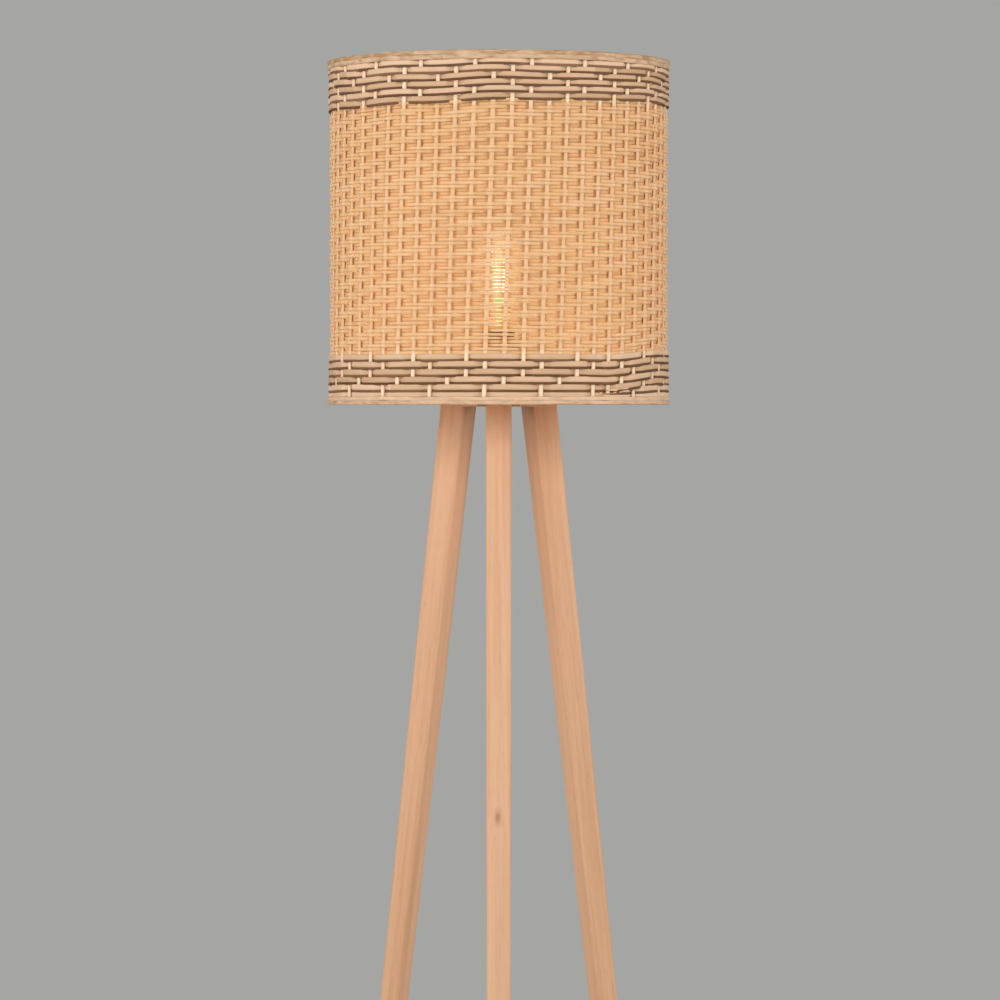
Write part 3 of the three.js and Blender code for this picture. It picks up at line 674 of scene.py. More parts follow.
def join(name, *strands):
    """One piece of swept strands. Each has its rings, its way along, its tone and whether it is closed."""
    points = []
    values = []
    faces = []
    count = 0
    for rings, along, tone, closed in strands:
        number, size, _ = rings.shape
        value = np.empty(rings.shape)
        value[:, :, 0] = column(along)
        value[:, :, 1] = np.linspace(0, 1, size, endpoint=False) * STRAND_ROUND
        value[:, :, 2] = column(tone)
        points.append(rings.reshape(-1, 3))
        values.append(value.reshape(-1, 3))
        faces += grid_faces(number, size, count, closed)
        count += number * size
    return mesh_object(name, np.concatenate(points), faces, np.concatenate(values))


# Stakes
def make_stakes():
    stakes = []
    low = RIM_LOW + STAKE_INSET
    high = RIM_HIGH - STAKE_INSET
    heights = np.linspace(low, high, STAKE_STEPS)
    for index in range(STAKES):
        stray = STAKE_STRAY * wander(heights - low, DRUM_HEIGHT / STAKE_BENDS, SEEDS["stray"] + index)
        angle = STAKE_FIRST + TURN * index / STAKES + lean(heights) + stray / STAKE_RADIUS
        width = STAKE_WIDTH * rng.uniform(*STAKE_WIDTH_SHARES)
        across = width / 2 / STAKE_RADIUS
        in_band = smooth((heights - RIM_HIGH + BAND_REACH) / BAND_BLEND)
        in_band = in_band + smooth((RIM_LOW + BAND_REACH - heights) / BAND_BLEND)
        depth = WOVEN_STAKE_DEPTH + (STAKE_DEPTH - WOVEN_STAKE_DEPTH) * in_band
        sides = column(angle) + across * np.array(FLAT_SECTION)[:, 1]
        rings = sweep(STAKE_RADIUS, sides, heights, 0, depth / 2, FLAT_SECTION)
        tone = rng.uniform(0, STAKE_TONE) + STAKE_BAND_TONE * in_band
        stakes.append((rings, heights + STAKE_CANE_LENGTH * index, tone, False))
    return join("stakes", *stakes)


# Bands
def eased(t):
    """A nearly even climb from 0 to 1 with soft ends."""
    return (1 - EASED_SHARE) * np.clip(t, 0, 1) + EASED_SHARE * smooth(t)


def extra_share(angle, band):
    """How much of a band's extra row there is at an azimuth, from 0 to 1."""
    turned_by = np.mod(angle - band.start, TURN)
    return eased(turned_by / CLIMB) * (1 - eased((turned_by - band.extra) / CLIMB))


def band_pitch(angle, band):
    """The extra row squeezes the others."""
    return band.pitch * (1 - SQUEEZE * extra_share(angle, band) - band.slant * np.cos(angle))


def band_waves(angle, band):
    """How a band's rows stray up and down together."""
    return band.waviness * waves(angle, (3, 5, 8, 11), band.seed)


def band_edge(angle, band):
    """Height of the last cord of a band, where the fine weave comes next."""
    rows = band.rows - 1 + extra_share(angle, band)
    return band.first + band.way * band_pitch(angle, band) * rows + band_waves(angle, band)


def woven_side(places, row_of_stake, pegs):
    """From -1 behind a stake to 1 in front of it, for places counted in stakes from the first one."""
    before = np.floor(places + PLACE_NUDGE)

    def side(stake):
        rows = np.clip(row_of_stake(stake), 0, len(pegs) - 1)
        return np.where(np.mod(stake, STITCH) == np.asarray(pegs)[rows], -1.0, 1.0)

    first = side(before)
    second = side(before + 1)
    share = places - before
    share = np.where(second < first, share, 1 - share)
    change = span_share(share, DIVE)
    change = np.where(second < first, change, 1 - change)
    return first + (second - first) * change


def band_line(band, swept):
    """Azimuth, row pitch, cord height and woven side along a band, which climbs a row as each turn starts."""
    angle = band.start + swept
    row = np.floor(swept / TURN)
    climb = eased((swept - row * TURN) / CLIMB)
    local = band_pitch(angle, band)
    level = np.where(row > 0, row - 1 + climb, 0)
    drift = DRIFT * wander(swept, DRIFT_SPACING, SEEDS["drift"] + band.way)
    cord_height = band.first + band.way * level * local + band_waves(angle, band) + drift
    cord_height = cord_height - band.way * START_DROP * np.where(row > 0, 0, 1 - climb)
    places = (angle - lean(cord_height) - STAKE_FIRST) * STAKES / TURN

    def row_of_stake(stake):
        return np.floor((stake * TURN / STAKES + STAKE_FIRST - band.start) / TURN + ROW_NUDGE).astype(int)

    return angle, local, cord_height, woven_side(places, row_of_stake, band.pegs)


def make_band(end, band):
    """A pair of a strand and a cord that goes round once for each row, at one end of the shade."""
    nodes = ["%s_weaver_%d" % (end, n) for n in range(1, band.rows + 1)]
    length = band.rows * TURN + band.extra + CLIMB
    swept = np.linspace(0, length, int(STAKES * BAND_STEPS * length / TURN) + 1)
    angle, local, cord_height, side = band_line(band, swept)
    strand_height = cord_height + local / 2
    cord_height = cord_height - CORD_BOW * side
    fade = smooth(swept / START_TAPER) * (1 - smooth((swept - length + END_TAPER) / END_TAPER))
    fade = TIP_SHARE + (1 - TIP_SHARE) * fade
    along = swept * DRUM_RADIUS
    half = STRAND_FILL * (local / 2 - CORD_RADIUS) * (1 + STRAND_BOW * side) * fade
    slim = STRAND_THICKNESS / 2 * fade
    reach = STAKE_DEPTH / 2 + STRAND_THICKNESS / 2 + BAND_GAP
    rings = sweep(STAKE_RADIUS + side * reach, angle, strand_height, half, slim, BAND_SECTION)
    tone = tones(along, STRAND_CANE, SEEDS["strand"]) + FIRST_ROW_TONE * (swept < TURN)
    strands = [(rings, along, tone, False)]
    if band.way > 0:
        strands.append(edge_strand(band, reach))
    reach = STAKE_DEPTH / 2 + CORD_RADIUS + BAND_GAP
    thick = CORD_RADIUS * fade * (1 + CORD_SWELL * wander(swept, CORD_SWELL_SPACING, SEEDS["cord_swell"]))
    rings = sweep(STAKE_RADIUS + side * reach, angle, cord_height, thick, thick, ROUND_SECTION)
    cord = (rings, along, tones(along, CORD_CANE, SEEDS["cord"]), False)
    dress(join(end + "_band_strand", *strands), "shade", "rattan_band", BAND_STRAND, *nodes)
    dress(join(end + "_band_cord", cord), "shade", "rattan_band", BAND_CORD)


def edge_strand(band, reach):
    """A plain strand that fills the space between the lower rim and the first cord."""
    swept = np.linspace(0, TURN, STAKES * BAND_STEPS, endpoint=False)
    angle, _, top, side = band_line(band, swept)
    top = top - CORD_RADIUS - START_DROP * smooth((swept - TURN + START_BLEND) / START_BLEND)
    bottom = RIM_LOW + LOWER_RIM_REACH - PART_EDGE
    half = (top - bottom) / 2
    slim = STRAND_THICKNESS / 2
    rings = sweep(STAKE_RADIUS + side * reach, angle, (top + bottom) / 2, half, slim, BAND_SECTION)
    along = swept * DRUM_RADIUS
    return rings, along, tones(along, STRAND_CANE, SEEDS["edge_strand"]) + FIRST_ROW_TONE, True


# Fine weave
def span_share(value, limits):
    """From 0 at the first limit to 1 at the second, with soft ends."""
    low, high = limits
    return smooth((value - low) / (high - low))


def patch_share(angle, height, middle, reach):
    """How far a place lies inside a patch of the wall before the bulb, from 0 to 1."""
    across = (np.mod(angle - PATCH_ANGLE + pi, TURN) - pi) / reach[0]
    up = (height - middle) / reach[1]
    return np.exp(-(across**4) - up**4)


def make_weft():
    """One strand that goes round and round between the bands, over two stakes and behind two."""
    low = LOWER.first + LOWER.rows * LOWER.pitch
    high = UPPER.first - (UPPER.rows - 1) * UPPER.pitch - CORD_RADIUS
    places = (np.arange(STAKES * WEFT_ROWS)[:, None] + np.array(WEFT_SPOTS)[None, :]).ravel()
    row = places / STAKES
    share = row / WEFT_ROWS
    plain = high - share * (high - low)
    angle = STAKE_FIRST + TURN * np.mod(places, STAKES) / STAKES + lean(plain)
    bottom = band_edge(angle, LOWER) + WEFT_TUCK_BOTTOM
    top = band_edge(angle, UPPER) + WEFT_TUCK_TOP
    height = plain + (bottom - low) * smooth((share - (1 - WEFT_FIT_SHARE)) / WEFT_FIT_SHARE)
    height = height + (top - high) * smooth((WEFT_FIT_SHARE - share) / WEFT_FIT_SHARE)
    jitter = WEFT_JITTER * rng.uniform(-1, 1, WEFT_ROWS + 2)[np.floor(row).astype(int)]
    height = height + jitter + WEFT_STRAY * wander(places, WEFT_STRAY_SPACING, SEEDS["weft_stray"])
    angle = STAKE_FIRST + TURN * places / STAKES + lean(height)
    nearest = np.round(places)
    away = np.abs(places - nearest)
    over = np.where(np.mod(nearest, 4) < 2, 1 - span_share(away, WEFT_OVER), 0)
    behind = np.where(np.mod(nearest, 4) < 2, 0, 1 - span_share(away, WEFT_BEHIND))
    between = np.abs(np.mod(places, 4) - 2.5) < 0.5
    behind = np.maximum(behind, np.where(between, WEFT_SUNK, 0))
    inner_rows = (row > 1) & (row < WEFT_ROWS - 1)
    reach = (WOVEN_STAKE_DEPTH / 2 + WEFT_THICKNESS / 2 + BAND_GAP) * inner_rows
    radius = STAKE_RADIUS + over * reach - behind * (reach + WEFT_SLACK)
    loose = LOOSENESS * patch_share(angle, height, LOOSE_HEIGHT, LOOSE_REACH)
    # Painted bulb light: the weave is painted paler in a patch before the bulb.
    painted_glow = PAINTED_BULB_GLOW * patch_share(angle, height, PAINTED_GLOW_HEIGHT, PAINTED_GLOW_REACH)
    change = WEFT_WIDTH_CHANGE * wander(places, WEFT_WIDTH_SPACING, SEEDS["weft_width"])
    width = WEFT_WIDTH * (1 + change - loose)
    rings = sweep(radius, angle, height, width / 2, WEFT_THICKNESS / 2, FINE_SECTION)
    along = places * TURN * STAKE_RADIUS / STAKES
    tone = WEFT_TONE + WEFT_CANE_TONE * tones(along, WEFT_CANE_LENGTH, SEEDS["weft"])
    # The tone takes a painted highlight over stakes, painted shade behind and between them, and painted bulb
    # light in the patch before the bulb.
    tone = tone + WEFT_OVER_PAINTED_HIGHLIGHT * over - WEFT_BEHIND_PAINTED_SHADE * behind + painted_glow
    return join("fine_weave", (rings, along, tone, False))


# Rims: two canes outside, three inside and a flat one on the edge
def make_rim(end, edge, way, reach, paleness):
    rim = []
    angle = np.linspace(0, TURN, STAKES * HOOP_STEPS, endpoint=False)
    inner = span(end + "_hoop")[2] - RIM_INSET
    canes = [(DRUM_RADIUS - r[0], r[1] * reach, r[2] * reach, r[3], BAND_SECTION) for r in OUTER_CANES]
    canes += [(inner + r[0], *r[1:], FLAT_SECTION) for r in INNER_CANES]
    for number, (radius, rise, half, slim, section) in enumerate(canes):
        height = edge + way * rise + RIM_WAVE * waves(angle, (5, 9, 14), SEEDS["rim_wave"] + number)
        half = half * (1 + RIM_SWELL * waves(angle, (19, 27, 41), SEEDS["rim_swell"] + number))
        radius = radius + RIM_STRAY * waves(angle, (23, 37), SEEDS["rim_stray"] + number)
        along = angle * DRUM_RADIUS + RIM_CANE_SPACING * number
        tone = tones(along, RIM_CANE_LENGTH, SEEDS["rim"] + number) + paleness
        rim.append((sweep(radius, angle, height, half, slim, section), along, tone, True))
    middle = (DRUM_RADIUS + inner) / 2
    flat = (DRUM_RADIUS - inner) / 2 - RIM_TOP_INSET
    height = edge + way * RIM_TOP_RISE + RIM_TOP_WAVE * waves(angle, (6, 11), SEEDS["rim_top_wave"])
    along = angle * DRUM_RADIUS
    tone = tones(along, RIM_TOP_CANE_LENGTH, SEEDS["rim_top"]) + paleness
    rings = sweep(middle, angle, height, RIM_TOP_HALF, flat, FLAT_SECTION)
    rim.append((rings, along + RIM_TOP_CANE_START, tone, True))
    dress(join(end + "_rim", *rim), "shade", "rattan_rim", RIM_CANE, end + "_binding")


# Legs
def make_leg(name, azimuth, material):
    """A tapered square leg with rounded edges, which keeps its place along its own grain."""
    node = "leg_" + name
    foot_reach = centre("glide_" + name).xy.length
    low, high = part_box(node)
    rings = []
    for height in np.linspace(low.z, high.z, LEG_STEPS):
        depth = LEG_FLOOR_DEPTH + (LEG_HUB_DEPTH - LEG_FLOOR_DEPTH) * height / RIM_LOW
        width = LEG_FLOOR_WIDTH + (LEG_HUB_WIDTH - LEG_FLOOR_WIDTH) * height / RIM_LOW
        middle = foot_reach - height * tan(LEG_SPLAY)
        ring = []
        for along_x, along_y, start in ((1, -1, -90), (1, 1, 0), (-1, 1, 90), (-1, -1, 180)):
            for step in range(LEG_CORNER_STEPS + 1):
                angle = radians(start + 90 * step / LEG_CORNER_STEPS)
                x = middle + along_x * (depth / 2 - LEG_EDGE) + LEG_EDGE * cos(angle)
                y = along_y * (width / 2 - LEG_EDGE) + LEG_EDGE * sin(angle)
                ring.append((x, y, height))
        rings.append(ring)
    turn = Matrix.Rotation(azimuth, 4, "Z")
    place = turn @ Matrix.Translation((foot_reach, 0, 0)) @ Matrix.Rotation(-LEG_SPLAY, 4, "Y")
    world = [turn @ Vector(point) for ring in rings for point in ring]
    own = [place.inverted() @ point for point in world]
    leg = mesh_object(node + "_wood", world, grid_faces(len(rings), len(rings[0])), own)
    dress(leg, "lamp", "leg_wood", material, node)


# Round parts on the lamp's axis
def outward(azimuth):
    return Vector((cos(azimuth), sin(azimuth), 0))


def upward(height):
    return Vector((0, 0, height))


def threaded(pitch, depth, low, high, runout):
    """A swell for turned() that cuts a rounded thread into every wall between two heights."""

    def swell(radius, height, angle):
        fade = smooth((height - low) / runout) * smooth((high - height) / runout)
        return radius - depth * float(fade) * (0.5 + 0.5 * cos(TURN * height / pitch - angle))

    return swell


def thread_steps(radius, low, high, pitch):
    """Points up a wall, close enough for a thread."""
    count = max(2, int(THREAD_STEPS * (high - low) / pitch))
    return [(radius, height) for height in np.linspace(low, high, count + 1)]


def turned_node(node, profile, material, *shape):
    """A turned piece in a node's place. shape is what turned() takes after the profile."""
    dress_node(turned(node + "_smooth", profile, *shape), node, material)


def ring_piece(node, inner, edge, material):
    low, high, outer = span(node)
    turned_node(node, ring_profile(inner, outer, low, high, edge), material, 96)


def make_hub_parts():
    soften_node("hub", SOFT_EDGE, leg_wood("hub_wood", 5.3, object_place))
    low, high, radius = span("threaded_tube")
    inside = radius - TUBE_WALL
    profile = [(inside, low), *thread_steps(radius, low, high, TUBE_THREAD_PITCH), (inside, high)]
    swell = threaded(TUBE_THREAD_PITCH, TUBE_THREAD_DEPTH, low, high, TUBE_THREAD_PITCH)
    turned_node("threaded_tube", profile, BRASS, 48, swell)
    ring_piece("lower_washer", radius + SEAT_GAP, FINE_EDGE, STEEL)
    for node in ("lower_nut", "upper_nut"):
        soften_node(node, PART_EDGE, STEEL)
    low, high, flange = span("cord_bushing")
    top = low + BUSHING_FLANGE
    sleeve = inside - SEAT_GAP
    profile = stepped(BUSHING_BORE, low, flange, top, sleeve, high, BUSHING_BORE)
    turned_node("cord_bushing", rounded_loop(profile, PART_EDGE), BLACK)


def make_bolt(node, azimuth):
    """A round head with a hexagon socket, square to the leg's outer face."""
    corners = {tuple(round(value / MM, 2) for value in v.co) for v in frame["nodes"][node].data.vertices}
    points = [Vector(corner) * MM for corner in corners]
    way = outward(azimuth) * cos(LEG_SPLAY) + upward(sin(LEG_SPLAY))
    middle = sum(points, Vector()) / len(points)
    reaches = [(p - middle).dot(way) for p in points]
    top = max(reaches)
    socket = BOLT_SOCKET_ACROSS / 2
    floor = top - BOLT_SOCKET_DEPTH
    profile = stepped(0, min(reaches), BOLT_DIAMETER / 2, top - BOLT_HEAD_HEIGHT, BOLT_HEAD_DIAMETER / 2, top)
    profile += [(socket + FINE_EDGE, top), (socket, floor), (0, floor)]

    def hexagon(reach, height, angle):
        if reach > BOLT_SOCKET_SHARE * socket or height < floor - FINE_EDGE:
            return reach
        sector = pi / 3
        return reach / cos((angle % sector) - sector / 2)

    bolt = turned(node + "_smooth", rounded(profile, 2 * PART_EDGE), 72, hexagon)
    bolt.matrix_world = Matrix.Translation(middle) @ way.to_track_quat("Z", "Y").to_matrix().to_4x4()
    dress_node(bolt, node, STEEL)


def make_glide(node):
    low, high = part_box(node)
    radius = (high.x - low.x) / 2
    top = low.z + GLIDE_HEIGHT
    profile = stepped(0, low.z, radius, top, GLIDE_PIN_RADIUS, high.z, 0)
    glide = turned(node + "_smooth", rounded(profile, 2 * PART_EDGE))
    glide.location = (*centre(node).xy, 0)
    dress_node(glide, node, GLIDE)


def make_holder():
    low, high, radius = span("holder_base")
    bore = span("threaded_tube")[2] + SEAT_GAP
    wall = radius - HOLDER_WALL
    flare = ((HOLDER_FOOT + radius) / 2, low + HOLDER_FLARE)
    shoulder = low + HOLDER_SHOULDER
    floor = low + HOLDER_FLOOR
    profile = [
        (bore, low), (HOLDER_FOOT, low), flare, (radius, shoulder), (radius, high),
        (wall, high), (wall, shoulder), (HOLDER_FOOT, floor), (bore, floor),
    ]
    turned_node("holder_base", rounded_loop(profile, SOFT_EDGE), BLACK, 96)

    low, high, flange = span("holder_body")
    seat = low + HOLDER_SEAT
    under = seat - HOLDER_FLANGE
    skirt = SKIRT_RADIUS
    outside = stepped(SKIRT_BORE, low, radius, under, flange, seat, skirt)
    wall = thread_steps(skirt, seat + PART_EDGE, high - PART_EDGE, SKIRT_THREAD_PITCH)
    lip = [(skirt - PART_EDGE, high), (SKIRT_BORE + PART_EDGE, high), (SKIRT_BORE, high - PART_EDGE)]
    swell = threaded(SKIRT_THREAD_PITCH, SKIRT_THREAD_DEPTH, seat, high, SKIRT_THREAD_PITCH)

    def outside_only(reach, height, angle):
        return swell(reach, height, angle) if reach > skirt - PART_EDGE / 2 and height > seat else reach

    profile = [*rounded(outside, PART_EDGE), *wall, *lip]
    turned_node("holder_body", profile, BLACK, 96, outside_only)

    low, high, radius = span("holder_insert")
    profile = stepped(0, low, INSERT_NECK, low + INSERT_LEDGE, radius, high, 0)
    turned_node("holder_insert", rounded(profile, PART_EDGE), CERAMIC)

    low, high, foot = span("screw_shell")
    rise = low + SHELL_WALL
    climb = thread_steps(SHELL_BORE + SHELL_WALL, rise, high, BULB_THREAD_PITCH)
    fall = reversed(thread_steps(SHELL_BORE, low, high, BULB_THREAD_PITCH))
    thread_low = low + SHELL_THREAD_RUNOUT
    swell = threaded(BULB_THREAD_PITCH, SHELL_THREAD_DEPTH, thread_low, high - SHELL_LIP, SHELL_THREAD_RUNOUT)
    turned_node("screw_shell", [(foot, low), (foot, rise), *climb, *fall], BRASS, 64, swell)
    soften_node("centre_contact", CONTACT_EDGE, BRASS)


def make_shade_ring():
    ring_piece("shade_ring_flange", RING_BORE, PART_EDGE, BLACK)
    low, high, _ = span("shade_ring_collar")
    profile = ring_profile(RING_BORE, COLLAR_RADIUS, low, high, PART_EDGE)

    def ribs(reach, height, angle):
        if reach <= (RING_BORE + COLLAR_RADIUS) / 2:
            return reach
        rib = span_share(cos(COLLAR_RIBS * angle - COLLAR_RIB_PHASE * TURN), COLLAR_RIB_SHARES)
        return reach - COLLAR_RIB_DEPTH * (1 - float(rib))

    turned_node("shade_ring_collar", profile, BLACK, 12 * COLLAR_RIBS, ribs)


def glass_outline(offset):
    """The glass from its neck up to the top of its dome, grown by an offset."""
    low, high, belly = span("bulb_glass")
    belly += offset
    neck = GLASS_NECK + offset
    neck_top = low + GLASS_NECK_HEIGHT
    height = high - neck_top
    belly_height = low + GLASS_BELLY_SHARE * height
    pulls = [Vector((neck + out * (belly - neck), low + up * height)) for out, up in GLASS_FLARE_SHARES]
    ends = (Vector((neck, neck_top)), *pulls, Vector((belly, belly_height)))
    points = [(neck, low), *(point[:2] for point in interpolate_bezier(*ends, GLASS_FLARE_STEPS + 1))]
    dome = high + offset - belly_height
    for angle in np.linspace(0, pi / 2, GLASS_DOME_STEPS + 1)[1:-1]:
        points.append((belly * cos(angle), belly_height + dome * sin(angle)))
    return [*points, (0, belly_height + dome)]


def straight(start, end, radius, sides, rounding=0):
    """A straight round rod as a strand, with ends drawn in by a share of its radius."""
    way = (end - start).normalized()
    side = way.orthogonal().normalized()
    angle = TURN * np.arange(sides) / sides
    circle = radius * (np.outer(np.cos(angle), side) + np.outer(np.sin(angle), way.cross(side)))
    length = (end - start).length
    inset = radius * rounding
    stops = ((0, 1 - rounding), (inset, 1), (length - inset, 1), (length, 1 - rounding))
    return np.array([circle * share + start + way * reach for reach, share in stops]), 0, 0.5, False


def make_bulb():
    low, high, radius = span("bulb_cap")
    inner = radius - CAP_WALL
    thread_low = low + CAP_LIP
    thread_top = thread_low + BULB_THREAD_TURNS * BULB_THREAD_PITCH
    climb = thread_steps(radius, thread_low, high, BULB_THREAD_PITCH)
    fall = reversed(thread_steps(inner, thread_low, high, BULB_THREAD_PITCH))
    swell = threaded(BULB_THREAD_PITCH, BULB_THREAD_DEPTH, thread_low, thread_top, BULB_THREAD_RUNOUT)
    profile = [(inner - CAP_LIP, low), (inner, low), *climb, *fall, (inner - CAP_LIP, low + CAP_WALL)]
    turned_node("bulb_cap", profile, BRASS, 96, swell)

    low, high, radius = span("bulb_insulator")
    profile = [(0, low), (INSULATOR_TIP, low), (radius, high), (0, high)]
    turned_node("bulb_insulator", rounded(profile, PART_EDGE), BLACK)
    low, high, radius = span("bulb_contact")
    profile = [(0, low), (radius / 2, low), (radius, (low + high) / 2), (radius, high), (0, high)]
    turned_node("bulb_contact", rounded(profile, PART_EDGE), STEEL)
    turned_node("bulb_glass", [*reversed(glass_outline(-GLASS_WALL)), *glass_outline(0)], GLASS, 96)

    low, high, _ = span("bulb_stem")
    top = low + STEM_HEIGHT
    profile = [
        (0, low), (STEM_FOOT, low), (STEM_FOOT, low + STEM_FOOT_HEIGHT),
        (STEM_FLARE_SHARE * STEM_RADIUS, low + STEM_FLARE), (STEM_RADIUS, low + 2 * STEM_FLARE),
        (STEM_RADIUS, top), (STEM_ROD_RADIUS, top + STEM_RADIUS), (STEM_ROD_RADIUS, high), (0, high),
    ]
    turned_node("bulb_stem", rounded(profile, PART_EDGE), STEM_GLASS, 48)


def make_filaments():
    """Filaments that lean outward as they rise, with wires out to them from the stem."""
    wires = []
    filaments = []
    nodes = ["filament_%d" % n for n in range(1, FILAMENTS + 1)]
    for node in nodes:
        low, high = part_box(node)
        across = centre(node)
        out = outward(atan2(across.y, across.x))
        heights = (low.z + FILAMENT_INSET, high.z - FILAMENT_INSET)
        ends = [out * reach + upward(height) for reach, height in zip(FILAMENT_REACHES, heights)]
        filaments.append(straight(*ends, FILAMENT_RADIUS, 12, 0.5))
        for end, way in zip(ends, (-1, 1)):
            tip = end + upward(way * WIRE_REACH)
            wires.append(straight(upward(tip.z), tip + out * WIRE_OVERRUN, WIRE_RADIUS, 8))
            wires.append(straight(tip, end, WIRE_RADIUS, 8))
    dress(join("support_wires", *wires), BODY_OF["bulb_stem"], "steel", STEEL)
    dress(join("filaments", *filaments), BODY_OF["filament_1"], "filament", FILAMENT, *nodes)


def make_shade_frame():
    ring_piece("fitting_ring", FITTING_BORE, FITTING_EDGE, WIRE)
    low, high, radius = span("fitting_ring")
    hoop_radius = span("lower_hoop")[2]
    for name, degrees in ARM_AZIMUTHS.items():
        node = "carrier_arm_" + name
        out = outward(radians(degrees))
        inner = out * (radius + ARM_SEAT) + upward((low + high) / 2)
        outer = out * (hoop_radius - 2 * FRAME_WIRE_RADIUS) + upward(span(node)[0] + FRAME_WIRE_RADIUS)
        dress_node(join(node + "_smooth", straight(inner, outer, FRAME_WIRE_RADIUS, 20, 0.5)), node, WIRE)
    angle = np.linspace(0, TURN, STAKES * HOOP_STEPS, endpoint=False)
    for node in ("lower_hoop", "upper_hoop"):
        low, high, radius = span(node)
        wire = (high - low) / 2
        rings = sweep(radius - wire, angle, low + wire, wire, wire, ROUND_SECTION)
        dress_node(join(node + "_smooth", (rings, angle * radius, 0.5, True)), node, WIRE)


# The camera and the stage
camera = add_object("camera", bpy.data.cameras.new("camera"))
SCENE.camera = camera
camera.location = (CAMERA_SIDE, -CAMERA_DISTANCE, CAMERA_HEIGHT)
camera.rotation_euler = (pi / 2 - CAMERA_PITCH, 0, 0)
camera.data.lens = CAMERA_LENS


def make_floor():
    """A pale floor that fades into the backdrop."""
    material, tree, shader = new_material("floor", Roughness=0.8, Specular_IOR_Level=0.2)
    place = object_place(tree)
    distance = vector_node(tree, "LENGTH", place)["Value"]
    paint(tree, shader, ramp(tree, noise(tree, place, 3, 3.0), (0.3, 0.7), FLOOR_COLOURS))
    fade = add(tree, "MapRange", {0: distance, 1: FLOOR_PLAIN_RADIUS, 2: FLOOR_RADIUS}).outputs[0]
    cover(tree, fade, shader, add(tree, "BsdfTransparent"))
    floor = turned("floor", [(0, 0), (FLOOR_RADIUS, 0)], 96)
    floor.data.flip_normals()
    floor.data.materials.append(material)


def make_world():
    """Even light from all round, behind which the camera sees the backdrop's colour."""
    world = bpy.data.worlds.new("studio")
    SCENE.world = world
    world.use_nodes = True
    tree = world.node_tree
    background = tree.nodes["Background"]
    background.inputs["Color"].default_value = (1, 1, 1, 1)
    background.inputs["Strength"].default_value = WORLD_STRENGTH
    backdrop = add(tree, "Background", {"Color": (*BACKDROP_COLOUR, 1)})
    path = add(tree, "LightPath")
    seen = math_node(tree, "MAXIMUM", path.outputs["Is Camera Ray"], path.outputs["Is Glossy Ray"])
    seen = math_node(tree, "MAXIMUM", seen, path.outputs["Is Transmission Ray"])
    cover(tree, seen, background, backdrop, "World Output")


def add_light(name, kind, place, power):
    light = add_object(name, bpy.data.lights.new(name, kind))
    light.location = place
    light.data.energy = power
    return light


def make_studio_light(name, place, target, size, power):
    light = add_light(name, "AREA", place, power)
    light.data.shape = "RECTANGLE"
    light.data.size, light.data.size_y = size
    light.rotation_euler = (Vector(target) - Vector(place)).to_track_quat("-Z", "Y").to_euler()


def make_bulb_light():
    """The light of the filaments, which itself isn't seen."""
    light = add_light("bulb_light", "POINT", upward(centre("bulb_glass").z), BULB_POWER)
    light.data.color = BULB_COLOUR
    light.data.shadow_soft_size = BULB_LIGHT_RADIUS
    light.visible_camera = light.visible_glossy = light.visible_transmission = False


make_world()
make_floor()
for row in LIGHTS:
    make_studio_light(*row)

# Materials
WEFT_CANE = rattan("weft_cane", ((0.5, 0.24, 0.09), (0.76, 0.43, 0.2), (0.84, 0.56, 0.33)), glow=0.1)
STAKE_COLOURS = ((0.77, 0.45, 0.23), (0.84, 0.55, 0.31), (0.92, 0.72, 0.51))
STAKE_CANE = rattan("stake_cane", STAKE_COLOURS, fibre=0.3, glow=0.15)
BAND_COLOURS = ((0.455, 0.27, 0.15), (0.565, 0.36, 0.21), (0.665, 0.45, 0.29))
BAND_STRAND = rattan("band_strand", BAND_COLOURS, fibre=0.7)
CORD_COLOURS = ((0.08, 0.036, 0.017), (0.16, 0.076, 0.038), (0.27, 0.14, 0.077))
BAND_CORD = rattan("band_cord", CORD_COLOURS, 0.75, 0.8)
RIM_COLOURS = ((0.36, 0.2, 0.095), (0.53, 0.35, 0.21), (0.66, 0.435, 0.28))
RIM_CANE = rattan("rim_cane", RIM_COLOURS, patch=(70, 420, 140), mottle=1.0)
PLASTIC = ((60, 2.0), (1400, 3.0))
BLACK = speckled("black_plastic", ((0.011, 0.01, 0.01), (0.0205, 0.019, 0.019)), 0.38, *PLASTIC, 0.25)
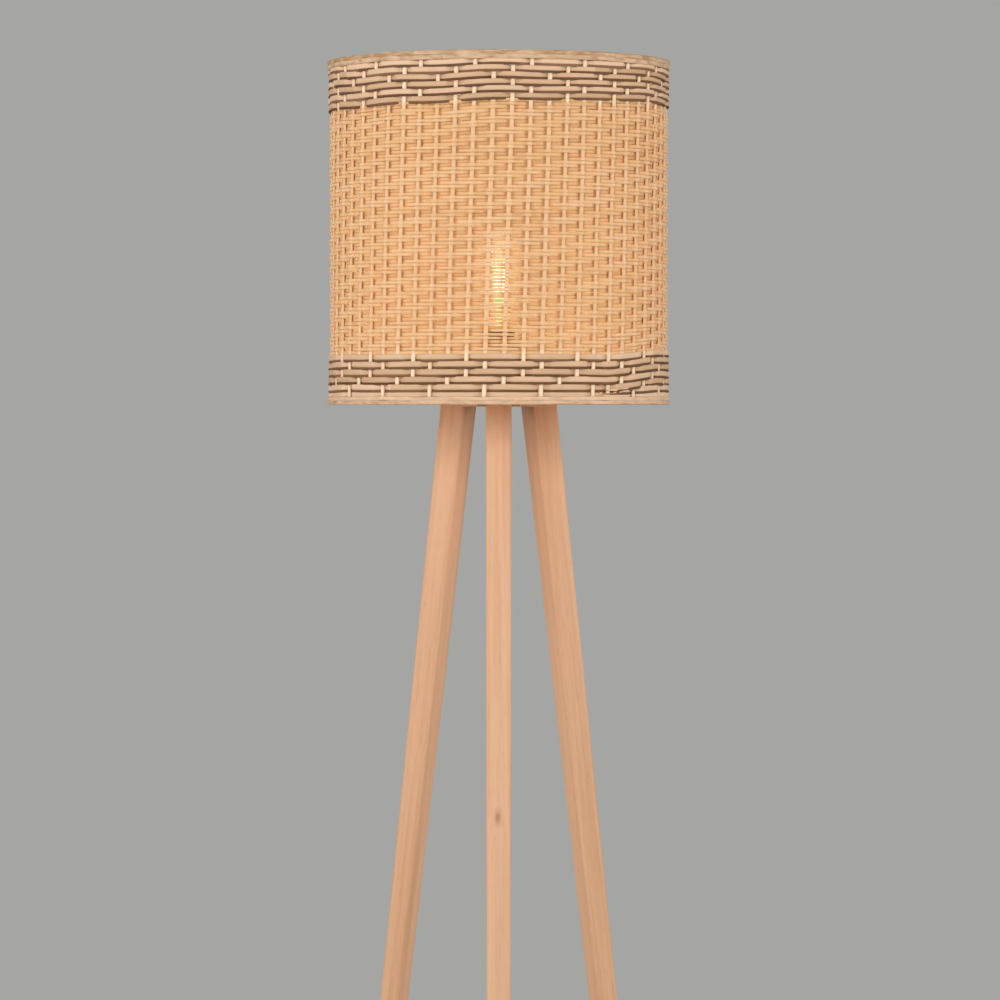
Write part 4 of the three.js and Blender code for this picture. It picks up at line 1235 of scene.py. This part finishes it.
GLIDE = speckled("glide_plastic", ((0.1, 0.085, 0.07), (0.154, 0.1315, 0.109)), 0.7, *PLASTIC, 0.4)
METAL = ((90, 3.0), ((300, 300, 1500), 3.0), 0.15, (0.35, 0.6), 0.05 * MM)
STEEL = speckled("zinc_steel", ((0.4836, 0.4914, 0.507), (0.62, 0.63, 0.65)), 0.3, *METAL, Metallic=1.0)
BRASS = speckled("brass", ((0.624, 0.4368, 0.1872), (0.8, 0.56, 0.24)), 0.25, *METAL, Metallic=1.0)
WIRE = speckled("cream_wire", ((0.616, 0.5808, 0.5104), (0.7, 0.66, 0.58)), 0.35, (120, 3.0), (700, 2.0), 0.1)
GRAIN = ((500, 4.0), (500, 4.0), 0.1, (0.3, 0.6))
CERAMIC = speckled("ceramic", ((0.7, 0.67, 0.6), (0.8, 0.77, 0.7)), 0.5, *GRAIN, Specular_IOR_Level=0.45)
# The bulb glass and the stem get a painted glow of the filament light.
GLASS = glass_material("bulb_glass", 0.12)
STEM_GLASS = glass_material("stem_glass", 0.4)
FILAMENT = filament_material()

# The shade
dress(make_stakes(), "shade", "rattan_weave", STAKE_CANE, "woven_panel")
dress(make_weft(), "shade", "rattan_weave", WEFT_CANE)
make_band("lower", LOWER)
make_band("upper", UPPER)
make_rim("lower", RIM_LOW, 1, LOWER_RIM_REACH, 0.1)
make_rim("upper", RIM_HIGH, -1, UPPER_RIM_REACH, -0.35)

# The legs
LEG_WOODS = {
    "front": leg_wood("front_leg_wood", 0.0, strand_place, [KNOT]),
    "rear_right": leg_wood("right_leg_wood", 1.7, strand_place),
    "rear_left": leg_wood("left_leg_wood", 3.1, strand_place),
}
for name, degrees in LEG_AZIMUTHS.items():
    make_leg(name, radians(degrees), LEG_WOODS[name])

# The hub, the holder, the bulb and what holds them
make_hub_parts()
for name, degrees in LEG_AZIMUTHS.items():
    for place in ("lower", "upper"):
        make_bolt("bolt_%s_%s" % (name, place), radians(degrees))
    make_glide("glide_" + name)
make_holder()
make_shade_ring()
make_bulb()
make_filaments()
make_shade_frame()
make_bulb_light()

SCENE.view_settings.view_transform = "Standard"
